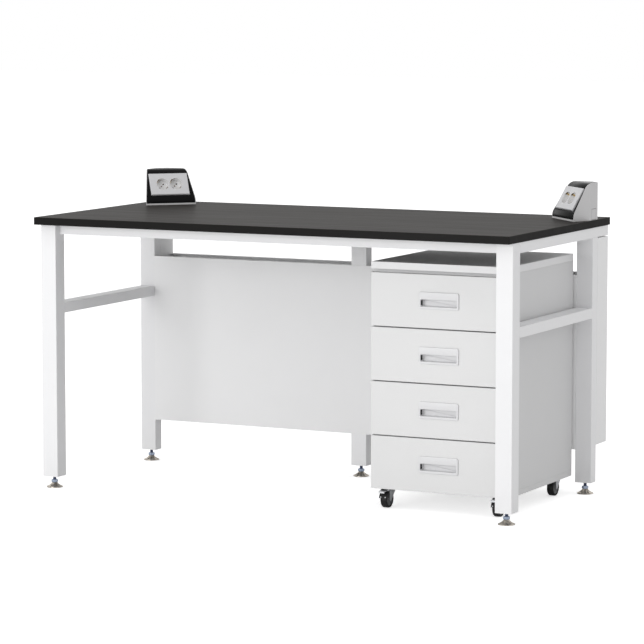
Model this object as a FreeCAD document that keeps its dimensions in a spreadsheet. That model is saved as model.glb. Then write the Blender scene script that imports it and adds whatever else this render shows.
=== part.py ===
import FreeCAD, Part
import os
import re

import Sketcher
from FreeCAD import Placement, Rotation, Vector

os.makedirs("parts", exist_ok=True)
doc = FreeCAD.newDocument("lab_bench")

# ---------------------------------------------------------------------------
# Driving dimensions, in millimetres and degrees.  The origin is on the floor
# under the middle of the worktop: +X right, +Y to the rear, +Z up.
# ---------------------------------------------------------------------------
SIZES = (
    ("bench_width", 1500, "worktop, left to right"),
    ("bench_depth", 750, "worktop, front to rear"),
    ("bench_height", 800, "floor to worktop surface"),
    ("top_thick", 22, "worktop thickness"),
    ("top_chamfer", 1, "broken edge round the worktop"),
    ("leg_width", 50, "square front leg, and width of every leg"),
    ("rear_leg_depth", 38, "rear legs, front to rear"),
    ("leg_wall", 2, "leg tube wall"),
    ("leg_corner", 1.5, "outer corner radius of the legs"),
    ("leg_side_inset", 2.5, "worktop end to outer face of a leg"),
    ("leg_front_inset", 34, "worktop front edge to front face of a leg"),
    ("leg_rear_inset", 90, "rear leg's rear face to worktop rear edge"),
    ("leg_ground", 34, "floor to the bottom of the legs"),
    ("rail_height", 30, "rails under the worktop and the crossbars"),
    ("rail_wall", 1.5, "wall of rails and crossbars"),
    ("rail_corner", 1.2, "outer corner radius of rails and crossbars"),
    ("front_rail_depth", 25, "front rail, front to rear"),
    ("side_rail_setback", 10, "rear end of a side rail to worktop rear edge"),
    ("crossbar_rise", 515, "floor to the underside of a crossbar"),
    ("sheet", 1.2, "folded steel sheet of the chase"),
    ("post_slit", 2.5, "gap between side rail and chase end post"),
    ("post_rise", 142, "floor to the bottom of end posts and rear cover"),
    ("post_lip", 12, "return flange of an end post against the leg"),
    ("panel_rise", 130, "floor to the bottom of the chase front panel"),
    ("panel_crest", 638, "floor to the top of front panel and rear cover"),
    ("panel_flange", 16, "folded edge of the front panel"),
    ("cover_flange", 20, "folded edge of the rear cover"),
    ("notch_gap", 1, "flange notch to the middle leg"),
    ("foot_radius", 24, "levelling foot cup"),
    ("foot_rim", 3, "upright rim of the cup"),
    ("foot_cone", 15, "height of the cup"),
    ("foot_neck", 8, "radius where the cup meets the stud"),
    ("foot_recess", 1.5, "hollow under the cup, inside its rim"),
    ("stud_radius", 5, "M10 stud of a foot"),
    ("stud_length", 48, "stud above the cup"),
    ("thread_gap", 0.05, "radial play of a stud or screw in its thread"),
    ("nut_across", 17, "hexagon of a foot, across flats"),
    ("nut_height", 8, "hexagon on top of the cup"),
    ("insert_height", 12, "threaded insert in a leg end"),
    ("top_screw_radius", 3, "M6 worktop screw"),
    ("top_screw_bite", 13, "worktop screw inside the worktop"),
    ("top_screw_head", 6, "head radius of a worktop screw"),
    ("top_screw_flat", 3.5, "head height of a worktop screw"),
    ("top_screw_inset", 90, "last worktop screw to the end of its rail"),
    ("screw_hole_gap", 0.2, "radial clearance of a through hole"),
    ("access_gap", 1, "radial clearance of a hole that a screw head passes"),
    ("chase_screw_radius", 2.5, "M5 chase screw"),
    ("chase_screw_head", 4.75, "head radius of a chase screw"),
    ("chase_screw_flat", 2.5, "head height of a chase screw"),
    ("chase_screw_tip", 6, "chase screw past the sheet"),
    ("chase_screw_margin", 60, "end chase screws from the ends of an edge"),
    ("box_width", 158, "socket box, along its front"),
    ("box_cheek", 58.6, "socket box cheek, front to chamfer"),
    ("box_taper", 17.5, "cheeks of the box, drawing in towards the back"),
    ("box_depth", 101, "socket box, front to back"),
    ("box_height", 107, "socket box height"),
    ("box_lip", 18, "upright foot of the sloping front"),
    ("box_strip", 5, "white strip under the cover"),
    ("box_rim", 1.8, "white edge left and right of the cover"),
    ("box_tilt", 29, "front of the box, leaning back from upright"),
    ("box_round", 26, "radius between front and top"),
    ("box_foot_round", 30, "radius between foot and slope"),
    ("box_left_gap", 42, "left box to the worktop's left edge"),
    ("box_right_gap", 2, "right box to the worktop's right edge"),
    ("box_rear_gap", 70, "boxes to the worktop's rear edge"),
    ("box_cover", 3, "thickness of the black cover"),
    ("box_wall", 2.5, "wall of the housing"),
    ("boss_radius", 7, "screw boss inside the housing"),
    ("boss_height", 20, "screw boss inside the housing"),
    ("boss_root", 1, "boss sunk into its wall"),
    ("boss_bite", 14, "screw inside a boss"),
    ("knock_width", 36, "scored knock-out on a chamfer face"),
    ("knock_height", 32, "scored knock-out height"),
    ("knock_rise", 1, "knock-out above the worktop"),
    ("knock_groove", 1.2, "width of the score line"),
    ("knock_score", 0.8, "depth of the score line"),
    ("plate_margin", 18.5, "side of the box to the socket plate"),
    ("plate_height", 72, "socket plate along the slope"),
    ("plate_climb", 48, "foot of the slope to the plate's middle"),
    ("plate_thick", 9, "socket plate thickness"),
    ("plate_proud", 6, "plate above the cover"),
    ("plate_bevel", 2, "bevelled rim of the plate"),
    ("plate_fit", 0.2, "plate to the cover's window"),
    ("socket_pitch", 42, "middle to middle of the two sockets"),
    ("well_radius", 19, "inside of the round socket well"),
    ("well_wall", 1.2, "wall of the socket well"),
    ("well_depth", 17.5, "socket well, mouth to floor"),
    ("well_floor", 3, "floor of the socket well"),
    ("pin_spread", 19, "middle to middle of the two pin holes"),
    ("pin_hole", 2.8, "radius of a pin hole"),
    ("sleeve_wall", 1, "wall of a brass pin sleeve"),
    ("sleeve_length", 12, "brass pin sleeve behind the floor"),
    ("clip_width", 5, "earth clip"),
    ("clip_thick", 1.2, "earth clip"),
    ("clip_length", 14, "earth clip, out of the floor"),
    ("ped_width", 420, "pedestal"),
    ("ped_depth", 475, "pedestal with drawer fronts"),
    ("ped_bottom", 54, "floor to the pedestal base"),
    ("ped_height", 648, "base to top of the pedestal"),
    ("ped_side_gap", 7.5, "pedestal to the right legs' inner face"),
    ("ped_front_inset", 140, "worktop front edge to drawer fronts"),
    ("ped_sheet", 1.2, "pedestal sheet"),
    ("ped_cap", 20, "depth of the folded top"),
    ("ped_plinth", 16, "height of the base tray"),
    ("plinth_sheet", 2, "base tray sheet"),
    ("finger_gap", 10, "shadow gap under the top"),
    ("head_rail_height", 20, "angle behind the shadow gap"),
    ("head_rail_depth", 15, "foot of that angle, front to rear"),
    ("front_thick", 18, "drawer front, a hollow pan"),
    ("front_sheet", 1.2, "sheet of a drawer front"),
    ("front_lip", 30, "return flange at the rear of a drawer front"),
    ("front_gap", 3, "gap between drawer fronts"),
    ("front_round", 1.5, "edge radius of a drawer front"),
    ("runner_room", 12.5, "side panel to drawer box"),
    ("drawer_sheet", 1, "drawer box sheet"),
    ("drawer_margin", 20, "drawer box below and above its front's edges"),
    ("drawer_back_gap", 40, "drawer box to pedestal rear"),
    ("runner_height", 30, "channel of a fixed runner"),
    ("runner_sheet", 1.5, "runner sheet"),
    ("runner_play", 0.4, "drawer rail in its channel"),
    ("runner_inset", 4, "front end of a runner behind the drawer front"),
    ("pull_width", 122, "drawer pull plate"),
    ("pull_height", 48, "drawer pull plate"),
    ("pull_lift", 2.5, "pull plate above the middle of its front"),
    ("pull_thick", 4, "pull plate in front of the drawer front"),
    ("pull_round", 6, "corner radius of the pull plate"),
    ("pull_edge", 1.5, "softened rim of the pull plate"),
    ("pull_wall", 1.5, "wall of the finger cup"),
    ("slot_width", 111, "finger slot"),
    ("slot_height", 20, "finger slot"),
    ("slot_drop", 7, "finger slot below the plate's middle"),
    ("slot_depth", 15, "finger cup behind the plate"),
    ("pull_fit", 0.3, "finger cup in the drawer front"),
    ("caster_inset_x", 38, "swivel axis to pedestal side"),
    ("caster_inset_front", 30, "swivel axis to the front of the base"),
    ("caster_inset_rear", 28, "swivel axis to the rear of the base"),
    ("wheel_radius", 25, "caster wheel"),
    ("wheel_width", 20, "caster wheel"),
    ("wheel_round", 3, "tread shoulder radius"),
    ("wheel_dish", 2, "recess in each wheel face"),
    ("wheel_hub", 7, "radius of the hub inside the recess"),
    ("wheel_tread", 6, "rim between recess and tread"),
    ("caster_trail", 20, "wheel axle ahead of the swivel axis, as parked"),
    ("caster_plate", 50, "square caster plate"),
    ("caster_plate_thick", 2, "caster plate thickness"),
    ("race_radius", 15, "swivel race under the plate"),
    ("king_radius", 4, "kingpin of the swivel"),
    ("pivot_play", 0.06, "radial play of pins and axles"),
    ("side_play", 0.4, "wheel to fork cheek"),
    ("fork_cheek", 2, "thickness of a fork cheek"),
    ("fork_crown", 2.5, "thickness of the fork crown"),
    ("fork_lead", 6, "crown ahead of the axle"),
    ("swivel_gap", 0.3, "fork crown to the race"),
    ("axle_radius", 3, "wheel axle"),
    ("axle_head", 5, "head radius of the axle"),
    ("axle_head_flat", 1.5, "head height of the axle"),
    ("hood_gap", 1.2, "wheel tread to the brake hood"),
    ("hood_thick", 2, "brake hood of a front fork"),
    ("hood_rise", 4, "lower edge of the hood above the axle"),
    ("pedal_pin", 1.5, "radius of the brake pedal pin"),
    ("pedal_drop", 2.3, "pedal pin below the top of the crown"),
    ("pedal_ahead", 10, "pedal pin ahead of the crown"),
    ("pedal_ear", 2.2, "ear round the pedal pin"),
    ("pedal_length", 22, "pedal, pin to tip"),
    ("pedal_thick", 1.5, "pedal plate"),
    ("pedal_side_gap", 1, "pedal to fork cheek"),
    ("overcut", 1, "how far a cutting tool runs past the face it cuts"),
)
DRAWERS = 4
CORNER_TURN = 45
NEAR = 0.01
ALIASES = {alias for alias, value, note in SIZES}

sheet = doc.addObject("Spreadsheet::Sheet", "dims")
for row, (alias, value, note) in enumerate(SIZES, start=1):
    sheet.set(f"A{row}", note)
    sheet.set(f"B{row}", str(value))
    sheet.setAlias(f"B{row}", alias)
doc.recompute()


# ---------------------------------------------------------------------------
# Small vocabulary: expressions, primitives, booleans and sketch bodies
# ---------------------------------------------------------------------------
def terms(text):
    """Write the sheet's name before every alias in an expression."""
    return re.sub(r"[a-z_][a-z0-9_]*", lambda m: "dims." + m[0] if m[0] in ALIASES else m[0], text)


def worth(text):
    """Present value of an expression, as a first guess for a sketch."""
    return float(sheet.evalExpression(terms(text)))


def place(item, x="0", y="0", z="0", turn=None):
    """Tie an object's position to the sheet; turn is a fixed Rotation."""
    if turn:
        item.Placement = Placement(Vector(0, 0, 0), turn)
    for axis, text in zip("xyz", (x, y, z)):
        item.setExpression(f"Placement.Base.{axis}", terms(text))
    return item


def box(x, y, z):
    """Block between the two expressions given for each axis."""
    block = doc.addObject("Part::Box", "block")
    for size, (low, high) in (("Length", x), ("Width", y), ("Height", z)):
        block.setExpression(size, terms(f"({high}) - ({low})"))
    return place(block, x[0], y[0], z[0])


ALONG = {
    "x": Rotation(Vector(0, 1, 0), 90),
    "y": Rotation(Vector(1, 0, 0), -90),
    "z": Rotation(),
}


def rod(axis, radius, length, x="0", y="0", z="0"):
    """Cylinder that starts at x, y, z and runs along an axis."""
    cylinder = doc.addObject("Part::Cylinder", "rod")
    cylinder.setExpression("Radius", terms(radius))
    cylinder.setExpression("Height", terms(length))
    return place(cylinder, x, y, z, ALONG[axis])


def fuse(*pieces):
    """One solid from several."""
    joined = doc.addObject("Part::MultiFuse", "joined")
    joined.Shapes = list(pieces)
    joined.Refine = True
    return joined


def cut(base, *tools):
    """Base with every tool taken away."""
    left = doc.addObject("Part::Cut", "cut")
    left.Base = base
    left.Tool = tools[0] if len(tools) == 1 else fuse(*tools)
    return left


def common(first, second):
    """What two solids share."""
    shared = doc.addObject("Part::MultiCommon", "common")
    shared.Shapes = [first, second]
    return shared


def group(*pieces):
    """Several solids side by side in one object."""
    together = doc.addObject("Part::Compound", "group")
    together.Links = list(pieces)
    return together


PLANES = {"xy": "XY_Plane", "xz": "XZ_Plane", "yz": "YZ_Plane"}


def new_body():
    return doc.addObject("PartDesign::Body", "body")


def new_sketch(body, plane):
    """Empty sketch on one of the body's own origin planes."""
    sketch = body.newObject("Sketcher::SketchObject", "outline")
    datum = next(f for f in body.Origin.OriginFeatures if f.Role == PLANES[plane])
    sketch.AttachmentSupport = [(datum, "")]
    sketch.MapMode = "FlatFace"
    return sketch


def draw_outline(sketch, corners):
    """Closed outline; every corner is held by two bound distances."""
    first = sketch.GeometryCount
    count = len(corners)
    spots = [Vector(worth(u), worth(v), 0) for u, v in corners]
    for i in range(count):
        sketch.addGeometry(Part.LineSegment(spots[i], spots[(i + 1) % count]))
    for i in range(count):
        following = first + (i + 1) % count
        sketch.addConstraint(Sketcher.Constraint("Coincident", first + i, 2, following, 1))
    for i, (u, v) in enumerate(corners):
        for kind, text, value in (("DistanceX", u, spots[i].x), ("DistanceY", v, spots[i].y)):
            number = sketch.addConstraint(Sketcher.Constraint(kind, -1, 1, first + i, 1, value))
            sketch.setExpression(f"Constraints[{number}]", terms(text))


def draw_circle(sketch, radius, u="0", v="0"):
    """Circle with bound radius and centre."""
    circle = sketch.addGeometry(Part.Circle(Vector(worth(u), worth(v), 0), Vector(0, 0, 1), worth(radius)))
    size = sketch.addConstraint(Sketcher.Constraint("Radius", circle, worth(radius)))
    sketch.setExpression(f"Constraints[{size}]", terms(radius))
    for kind, text in (("DistanceX", u), ("DistanceY", v)):
        number = sketch.addConstraint(Sketcher.Constraint(kind, -1, 1, circle, 3, worth(text)))
        sketch.setExpression(f"Constraints[{number}]", terms(text))


def rectangle(wide, high, inset="0"):
    """Corners of a rectangle about the origin, drawn in by an inset."""
    u = f"(({wide}) / 2 - ({inset}))"
    v = f"(({high}) / 2 - ({inset}))"
    return [("-" + u, "-" + v), (u, "-" + v), (u, v), ("-" + u, v)]


def pad(body, sketch, length, backwards=False):
    """Raise a sketch off its plane by a bound length."""
    solid = body.newObject("PartDesign::Pad", "pad")
    solid.Profile = sketch
    solid.Reversed = backwards
    solid.setExpression("Length", terms(length))
    body.Tip = solid
    return solid


def turned(corners):
    """Body of revolution about Z from an outline of radius and height."""
    body = new_body()
    sketch = new_sketch(body, "xz")
    draw_outline(sketch, corners)
    solid = body.newObject("PartDesign::Revolution", "turned")
    solid.Profile = sketch
    solid.ReferenceAxis = (sketch, ["V_Axis"])
    solid.Angle = 360
    body.Tip = solid
    return body


def soften(body, kind, size, chosen):
    """Fillet or chamfer on the edges of the tip that a test chooses."""
    doc.recompute()
    tip = body.Tip
    names = [f"Edge{n}" for n, edge in enumerate(tip.Shape.Edges, start=1) if chosen(edge)]
    dressed = body.newObject(f"PartDesign::{kind}", kind.lower())
    dressed.Base = (tip, names)
    dressed.setExpression("Radius" if kind == "Fillet" else "Size", terms(size))
    body.Tip = dressed
    return dressed


def runs_along(axis):
    """Test for straight edges along an axis, 0 for X, 1 for Y, 2 for Z."""
    def test(edge):
        if not isinstance(edge.Curve, Part.Line):
            return False
        start, end = (v.Point for v in edge.Vertexes)
        step = end - start
        return step.Length - abs(step[axis]) < NEAR
    return test


def on_face(y):
    """Test for the edges round a face that looks along Y."""
    return lambda edge: all(abs(v.Point.y - y) < NEAR for v in edge.Vertexes)


TUBE_PLANE = {"x": "yz", "y": "xz", "z": "xy"}


def tube(axis, wide, high, wall, length, x, y, z, corner):
    """Rectangular tube that starts at x, y, z; wide and high as its plane shows them."""
    body = new_body()
    sketch = new_sketch(body, TUBE_PLANE[axis])
    draw_outline(sketch, rectangle(wide, high))
    pad(body, sketch, length, backwards=axis == "y")
    soften(body, "Fillet", corner, runs_along("xyz".index(axis)))
    bore = new_sketch(body, TUBE_PLANE[axis])
    draw_outline(bore, rectangle(wide, high, wall))
    hollow = body.newObject("PartDesign::Pocket", "hollow")
    hollow.Profile = bore
    hollow.Reversed = axis != "y"
    hollow.setExpression("Length", terms(length))
    body.Tip = hollow
    return place(body, x, y, z)


NODES = []


def node(label, item):
    """Name a finished piece; the label is its file name."""
    item.Label = label
    NODES.append(item)
    return item


# ---------------------------------------------------------------------------
# Shared places, as expressions
# ---------------------------------------------------------------------------
TOP_UNDER = "(bench_height - top_thick)"
RAIL_UNDER = f"({TOP_UNDER} - rail_height)"
SCREW_SEAT = f"({TOP_UNDER} - rail_wall)"
LEG_OUTER = "(bench_width / 2 - leg_side_inset)"
LEG_INNER = f"({LEG_OUTER} - leg_width)"
LEG_MID = f"({LEG_OUTER} - leg_width / 2)"
FRONT_LEG_FACE = "(-bench_depth / 2 + leg_front_inset)"
FRONT_LEG_BACK = f"({FRONT_LEG_FACE} + leg_width)"
FRONT_LEG_MID = f"({FRONT_LEG_FACE} + leg_width / 2)"
REAR_LEG_BACK = "(bench_depth / 2 - leg_rear_inset)"
REAR_LEG_FACE = f"({REAR_LEG_BACK} - rear_leg_depth)"
REAR_LEG_MID = f"({REAR_LEG_BACK} - rear_leg_depth / 2)"
CHASE_BACK = "(bench_depth / 2 - side_rail_setback)"
SIDES = (("left", "-"), ("right", ""))

# Name, middle in X, middle in Y, depth of the leg, top of the leg
LEGS = (
    ("front_left", "-" + LEG_MID, FRONT_LEG_MID, "leg_width", TOP_UNDER),
    ("front_right", LEG_MID, FRONT_LEG_MID, "leg_width", TOP_UNDER),
    ("rear_left", "-" + LEG_MID, REAR_LEG_MID, "rear_leg_depth", RAIL_UNDER),
    ("rear_middle", "0", REAR_LEG_MID, "rear_leg_depth", RAIL_UNDER),
    ("rear_right", LEG_MID, REAR_LEG_MID, "rear_leg_depth", RAIL_UNDER),
)


# ---------------------------------------------------------------------------
# Screws
# ---------------------------------------------------------------------------
def top_screw_places():
    """X and Y of every screw that holds the worktop down."""
    front_y = f"{FRONT_LEG_BACK} - front_rail_depth / 2"
    along_front = (f"-({LEG_INNER} - top_screw_inset)", "0", f"{LEG_INNER} - top_screw_inset")
    spots = [(x, front_y) for x in along_front]
    spots += [(x, REAR_LEG_MID) for x in (along_front[0], along_front[2])]
    for side, sign in SIDES:
        for y in (f"{FRONT_LEG_BACK} + top_screw_inset", f"{CHASE_BACK} - top_screw_inset"):
            spots.append((f"{sign}{LEG_MID}", y))
    return spots


def screw_up(x, y, seat, reach):
    """Pan-head screw driven upward, its head against a face at height seat."""
    low = f"{seat} - top_screw_flat"
    shank = rod("z", "top_screw_radius - thread_gap", f"{reach} + top_screw_flat", x, y, low)
    head = rod("z", "top_screw_head", "top_screw_flat", x, y, low)
    return fuse(shank, head)


def drilled(rail, spots):
    """Rail with a hole in its upper wall for each screw and one below that passes the head."""
    through = "rail_wall + 2 * overcut"
    holes = []
    for x, y in spots:
        holes.append(rod("z", "top_screw_radius + screw_hole_gap", through, x, y, f"{SCREW_SEAT} - overcut"))
        holes.append(rod("z", "top_screw_head + access_gap", through, x, y, f"{RAIL_UNDER} - overcut"))
    return cut(rail, *holes)


BOX_SHOULDER = "(box_width / 2 - box_cheek * tan(box_taper))"
PLATE_WIDTH = "(box_width - 2 * plate_margin)"
BOX_REACH = f"(({BOX_SHOULDER} + box_cheek) / sqrt(2))"
BOX_X = {
    "-": f"-(bench_width / 2 - box_left_gap - {BOX_REACH})",
    "": f"(bench_width / 2 - box_right_gap - {BOX_REACH})",
}
BOX_Y = f"(bench_depth / 2 - box_rear_gap - {BOX_REACH})"


def boss_places(sign):
    """Middles of a socket box's two screw bosses, in the box's own plan: one in front, one at a chamfer."""
    inward = "(box_wall + boss_radius - boss_root)"
    run = "((box_depth - box_cheek) / 3)"
    flip = "-" if sign == "" else ""
    slope = "((box_cover + box_wall) / cos(box_tilt) + (boss_height - box_lip) * tan(box_tilt))"
    front = ("0", f"({slope} + boss_radius - boss_root)")
    chamfer = (f"{flip}({BOX_SHOULDER} - {run} - {inward} / sqrt(2))",
               f"(box_cheek + {run} - {inward} / sqrt(2))")
    return front, chamfer


def box_screw_places(sign):
    """The same bosses in the bench's plan, after the box's turn of 45 degrees."""
    turn = "+" if sign == "" else "-"
    away = "-" if sign == "" else "+"
    return [(f"{BOX_X[sign]} + (({u}) {turn} ({v})) / sqrt(2)", f"{BOX_Y} + (({v}) {away} ({u})) / sqrt(2)")
            for u, v in boss_places(sign)]


TOP_SCREWS = top_screw_places()
BOX_SCREWS = [spot for side, sign in SIDES for spot in box_screw_places(sign)]
FRONT_SCREWS = TOP_SCREWS[0:3]
REAR_SCREWS = TOP_SCREWS[3:5]
SIDE_SCREWS = {"left": TOP_SCREWS[5:7], "right": TOP_SCREWS[7:9]}


# ---------------------------------------------------------------------------
# Worktop
# ---------------------------------------------------------------------------
def worktop():
    """Slab with broken edges, blind holes over the rails and through holes under the boxes."""
    body = new_body()
    sketch = new_sketch(body, "xy")
    draw_outline(sketch, rectangle("bench_width", "bench_depth"))
    pad(body, sketch, "top_thick")
    soften(body, "Chamfer", "top_chamfer", lambda edge: True)
    place(body, z=TOP_UNDER)
    low = f"{TOP_UNDER} - overcut"
    holes = [rod("z", "top_screw_radius", "top_screw_bite + thread_gap + overcut", x, y, low)
             for x, y in TOP_SCREWS]
    holes += [rod("z", "top_screw_radius + screw_hole_gap", "top_thick + 2 * overcut", x, y, low)
              for x, y in BOX_SCREWS]
    return cut(body, *holes)


def underside_screws():
    """Screws through the rails into the worktop, and through the worktop into the socket boxes."""
    rails = [screw_up(x, y, SCREW_SEAT, "rail_wall + top_screw_bite") for x, y in TOP_SCREWS]
    boxes = [screw_up(x, y, TOP_UNDER, "top_thick + boss_bite") for x, y in BOX_SCREWS]
    return group(*rails, *boxes)


node("worktop", worktop())
node("worktop_screws", underside_screws())


# ---------------------------------------------------------------------------
# Steel frame: legs, rails, crossbars
# ---------------------------------------------------------------------------
def chase_screw_heights(low, high):
    """Three screws up one edge."""
    return (f"({low} + chase_screw_margin)", f"(({low}) + ({high})) / 2", f"({high} - chase_screw_margin)")


PANEL_SCREW_Y = f"({REAR_LEG_FACE} - sheet + panel_flange / 2)"
COVER_SCREW_Y = f"({CHASE_BACK} - cover_flange / 2)"
PANEL_SCREW_Z = chase_screw_heights("panel_rise", "panel_crest")
COVER_SCREW_Z = chase_screw_heights("post_rise", "panel_crest")


def side_hole(radius, sign, y, z):
    """Drill along X, through whatever stands at one side's leg line."""
    reach = "2 * chase_screw_tip"
    return rod("x", radius, reach, f"{sign}{LEG_INNER} - {reach} / 2", y, z)


for name, x, y, deep, crest in LEGS:
    post = tube("z", "leg_width", deep, "leg_wall", f"{crest} - leg_ground",
                x, y, "leg_ground", "leg_corner")
    sign = {"rear_left": "-", "rear_right": ""}.get(name)
    if sign is not None:
        post = cut(post, *[side_hole("chase_screw_radius", sign, PANEL_SCREW_Y, z) for z in PANEL_SCREW_Z])
    node(f"leg_{name}", post)

for side, sign in SIDES:
    rail = tube("y", "leg_width", "rail_height", "rail_wall", f"{CHASE_BACK} - {FRONT_LEG_BACK}",
                f"{sign}{LEG_MID}", FRONT_LEG_BACK, f"{RAIL_UNDER} + rail_height / 2", "rail_corner")
    node(f"side_rail_{side}", drilled(rail, SIDE_SCREWS[side]))
    bar = tube("y", "leg_width", "rail_height", "rail_wall", f"{REAR_LEG_FACE} - {FRONT_LEG_BACK}",
               f"{sign}{LEG_MID}", FRONT_LEG_BACK, "crossbar_rise + rail_height / 2", "rail_corner")
    node(f"crossbar_{side}", bar)

front_rail = tube("x", "front_rail_depth", "rail_height", "rail_wall", f"2 * {LEG_INNER}",
                  f"-{LEG_INNER}", f"{FRONT_LEG_BACK} - front_rail_depth / 2",
                  f"{RAIL_UNDER} + rail_height / 2", "rail_corner")
node("front_rail", drilled(front_rail, FRONT_SCREWS))
rear_rail = tube("x", "rear_leg_depth", "rail_height", "rail_wall", f"2 * {LEG_INNER}",
                 f"-{LEG_INNER}", REAR_LEG_MID, f"{RAIL_UNDER} + rail_height / 2", "rail_corner")
node("rear_rail", drilled(rear_rail, REAR_SCREWS))


# ---------------------------------------------------------------------------
# Service chase behind the rear legs: end posts, front panel, rear cover
# ---------------------------------------------------------------------------
def end_post(sign):
    """Folded box behind a rear leg, open toward the leg between two lips."""
    low, high = (LEG_INNER, LEG_OUTER) if sign == "" else (f"-{LEG_OUTER}", f"-{LEG_INNER}")
    crest = f"{RAIL_UNDER} - post_slit"
    shell = box((low, high), (REAR_LEG_BACK, CHASE_BACK), ("post_rise", crest))
    hollow = box((f"{low} + sheet", f"{high} - sheet"),
                 (f"{REAR_LEG_BACK} + sheet", f"{CHASE_BACK} - sheet"),
                 ("post_rise + sheet", f"{crest} - sheet"))
    mouth = box((f"{low} + post_lip", f"{high} - post_lip"),
                (f"{REAR_LEG_BACK} - overcut", f"{REAR_LEG_BACK} + sheet + overcut"),
                ("post_rise + post_lip", f"{crest} - post_lip"))
    holes = [side_hole("chase_screw_radius", sign, COVER_SCREW_Y, z) for z in COVER_SCREW_Z]
    return cut(shell, hollow, mouth, *holes)


def flanged_tray(x, y, z, opens_to):
    """Sheet with its four edges folded toward one side in Y."""
    shell = box(x, y, z)
    if opens_to == "rear":
        inner_y = (f"{y[0]} + sheet", f"{y[1]} + overcut")
    else:
        inner_y = (f"{y[0]} - overcut", f"{y[1]} - sheet")
    hollow = box((f"{x[0]} + sheet", f"{x[1]} - sheet"), inner_y,
                 (f"{z[0]} + sheet", f"{z[1]} - sheet"))
    return shell, hollow


def front_panel():
    """Modesty panel across the rear legs; its flanges are notched round the middle leg."""
    y = (f"{REAR_LEG_FACE} - sheet", f"{REAR_LEG_FACE} - sheet + panel_flange")
    shell, hollow = flanged_tray((f"-{LEG_INNER}", LEG_INNER), y, ("panel_rise", "panel_crest"), "rear")
    half = "(leg_width / 2 + notch_gap)"
    notch = box((f"-{half}", half), (REAR_LEG_FACE, f"{y[1]} + overcut"),
                ("panel_rise - overcut", "panel_crest + overcut"))
    holes = [side_hole("chase_screw_radius + screw_hole_gap", sign, PANEL_SCREW_Y, z)
             for side, sign in SIDES for z in PANEL_SCREW_Z]
    return cut(shell, hollow, notch, *holes)


def rear_cover():
    """Cover between the end posts, flanges to the front."""
    y = (f"{CHASE_BACK} - cover_flange", CHASE_BACK)
    shell, hollow = flanged_tray((f"-{LEG_INNER}", LEG_INNER), y, ("post_rise", "panel_crest"), "front")
    holes = [side_hole("chase_screw_radius + screw_hole_gap", sign, COVER_SCREW_Y, z)
             for side, sign in SIDES for z in COVER_SCREW_Z]
    return cut(shell, hollow, *holes)


def chase_screw(sign, y, z):
    """Pan-head screw through a flange, pointing outward."""
    inside = f"{LEG_INNER} - sheet"
    outward = "sheet + chase_screw_tip"
    if sign == "":
        shank_x, head_x = inside, f"{inside} - chase_screw_flat"
    else:
        shank_x, head_x = f"-({inside} + {outward})", f"-({inside})"
    shank = rod("x", "chase_screw_radius - thread_gap", outward, shank_x, y, z)
    head = rod("x", "chase_screw_head", "chase_screw_flat", head_x, y, z)
    return fuse(shank, head)


def chase_screws():
    """Screws of the front panel and of the rear cover."""
    rows = ((PANEL_SCREW_Y, PANEL_SCREW_Z), (COVER_SCREW_Y, COVER_SCREW_Z))
    return group(*[chase_screw(sign, y, z) for side, sign in SIDES for y, heights in rows for z in heights])


for side, sign in SIDES:
    node(f"chase_end_post_{side}", end_post(sign))
node("chase_front_panel", front_panel())
node("chase_rear_cover", rear_cover())
node("chase_screws", chase_screws())


# ---------------------------------------------------------------------------
# Levelling feet
# ---------------------------------------------------------------------------
def levelling_foot(x, y):
    """Pressed cup on the floor, the hexagon that turns it and the stud that screws into the leg."""
    cup = turned([
        ("0", "foot_recess"),
        ("foot_radius - foot_rim", "foot_recess"),
        ("foot_radius - foot_rim", "0"),
        ("foot_radius", "0"),
        ("foot_radius", "foot_rim"),
        ("foot_neck", "foot_cone"),
        ("stud_radius", "foot_cone"),
        ("stud_radius", "foot_cone + stud_length"),
        ("0", "foot_cone + stud_length"),
    ])
    hexagon = doc.addObject("Part::Prism", "hexagon")
    hexagon.Polygon = 6
    hexagon.setExpression("Circumradius", terms("nut_across / sqrt(3)"))
    hexagon.setExpression("Height", terms("nut_height"))
    return fuse(place(cup, x, y), place(hexagon, x, y, "foot_cone"))


def insert(x, y, deep):
    """Threaded block welded into the end of a leg."""
    half_x = "(leg_width / 2 - leg_wall)"
    half_y = f"({deep} / 2 - leg_wall)"
    block = box((f"{x} - {half_x}", f"{x} + {half_x}"), (f"{y} - {half_y}", f"{y} + {half_y}"),
                ("leg_ground", "leg_ground + insert_height"))
    thread = rod("z", "stud_radius + thread_gap", "insert_height + 2 * overcut", x, y, "leg_ground - overcut")
    return cut(block, thread)


node("leg_inserts", group(*[insert(x, y, deep) for name, x, y, deep, crest in LEGS]))
for name, x, y, deep, crest in LEGS:
    node(f"levelling_foot_{name}", levelling_foot(x, y))


# ---------------------------------------------------------------------------
# Corner socket boxes.  Each is modelled facing -Y with the middle of its front
# foot at the origin, then turned by 45 degrees into its corner.
# ---------------------------------------------------------------------------
def plan_prism(inset, front, low, high):
    """The box's six-sided plan as a prism, its front line at y = front, drawn in elsewhere."""
    body = new_body()
    sketch = new_sketch(body, "xy")
    half = f"(box_width / 2 - ({front}) * tan(box_taper) - {inset} / cos(box_taper))"
    shoulder = f"(box_cheek - {inset} * (sqrt(2) - 1 / cos(box_taper)) / (1 - tan(box_taper)))"
    chamfer = f"({BOX_SHOULDER} + box_cheek - sqrt(2) * {inset})"
    waist = f"({chamfer} - {shoulder})"
    back = f"(box_depth - {inset})"
    back_half = f"({chamfer} - {back})"
    draw_outline(sketch, [
        (f"-{half}", front), (half, front), (waist, shoulder),
        (back_half, back), (f"-{back_half}", back), (f"-{waist}", shoulder),
    ])
    pad(body, sketch, f"({high}) - ({low})")
    return place(body, z=low)


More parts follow.
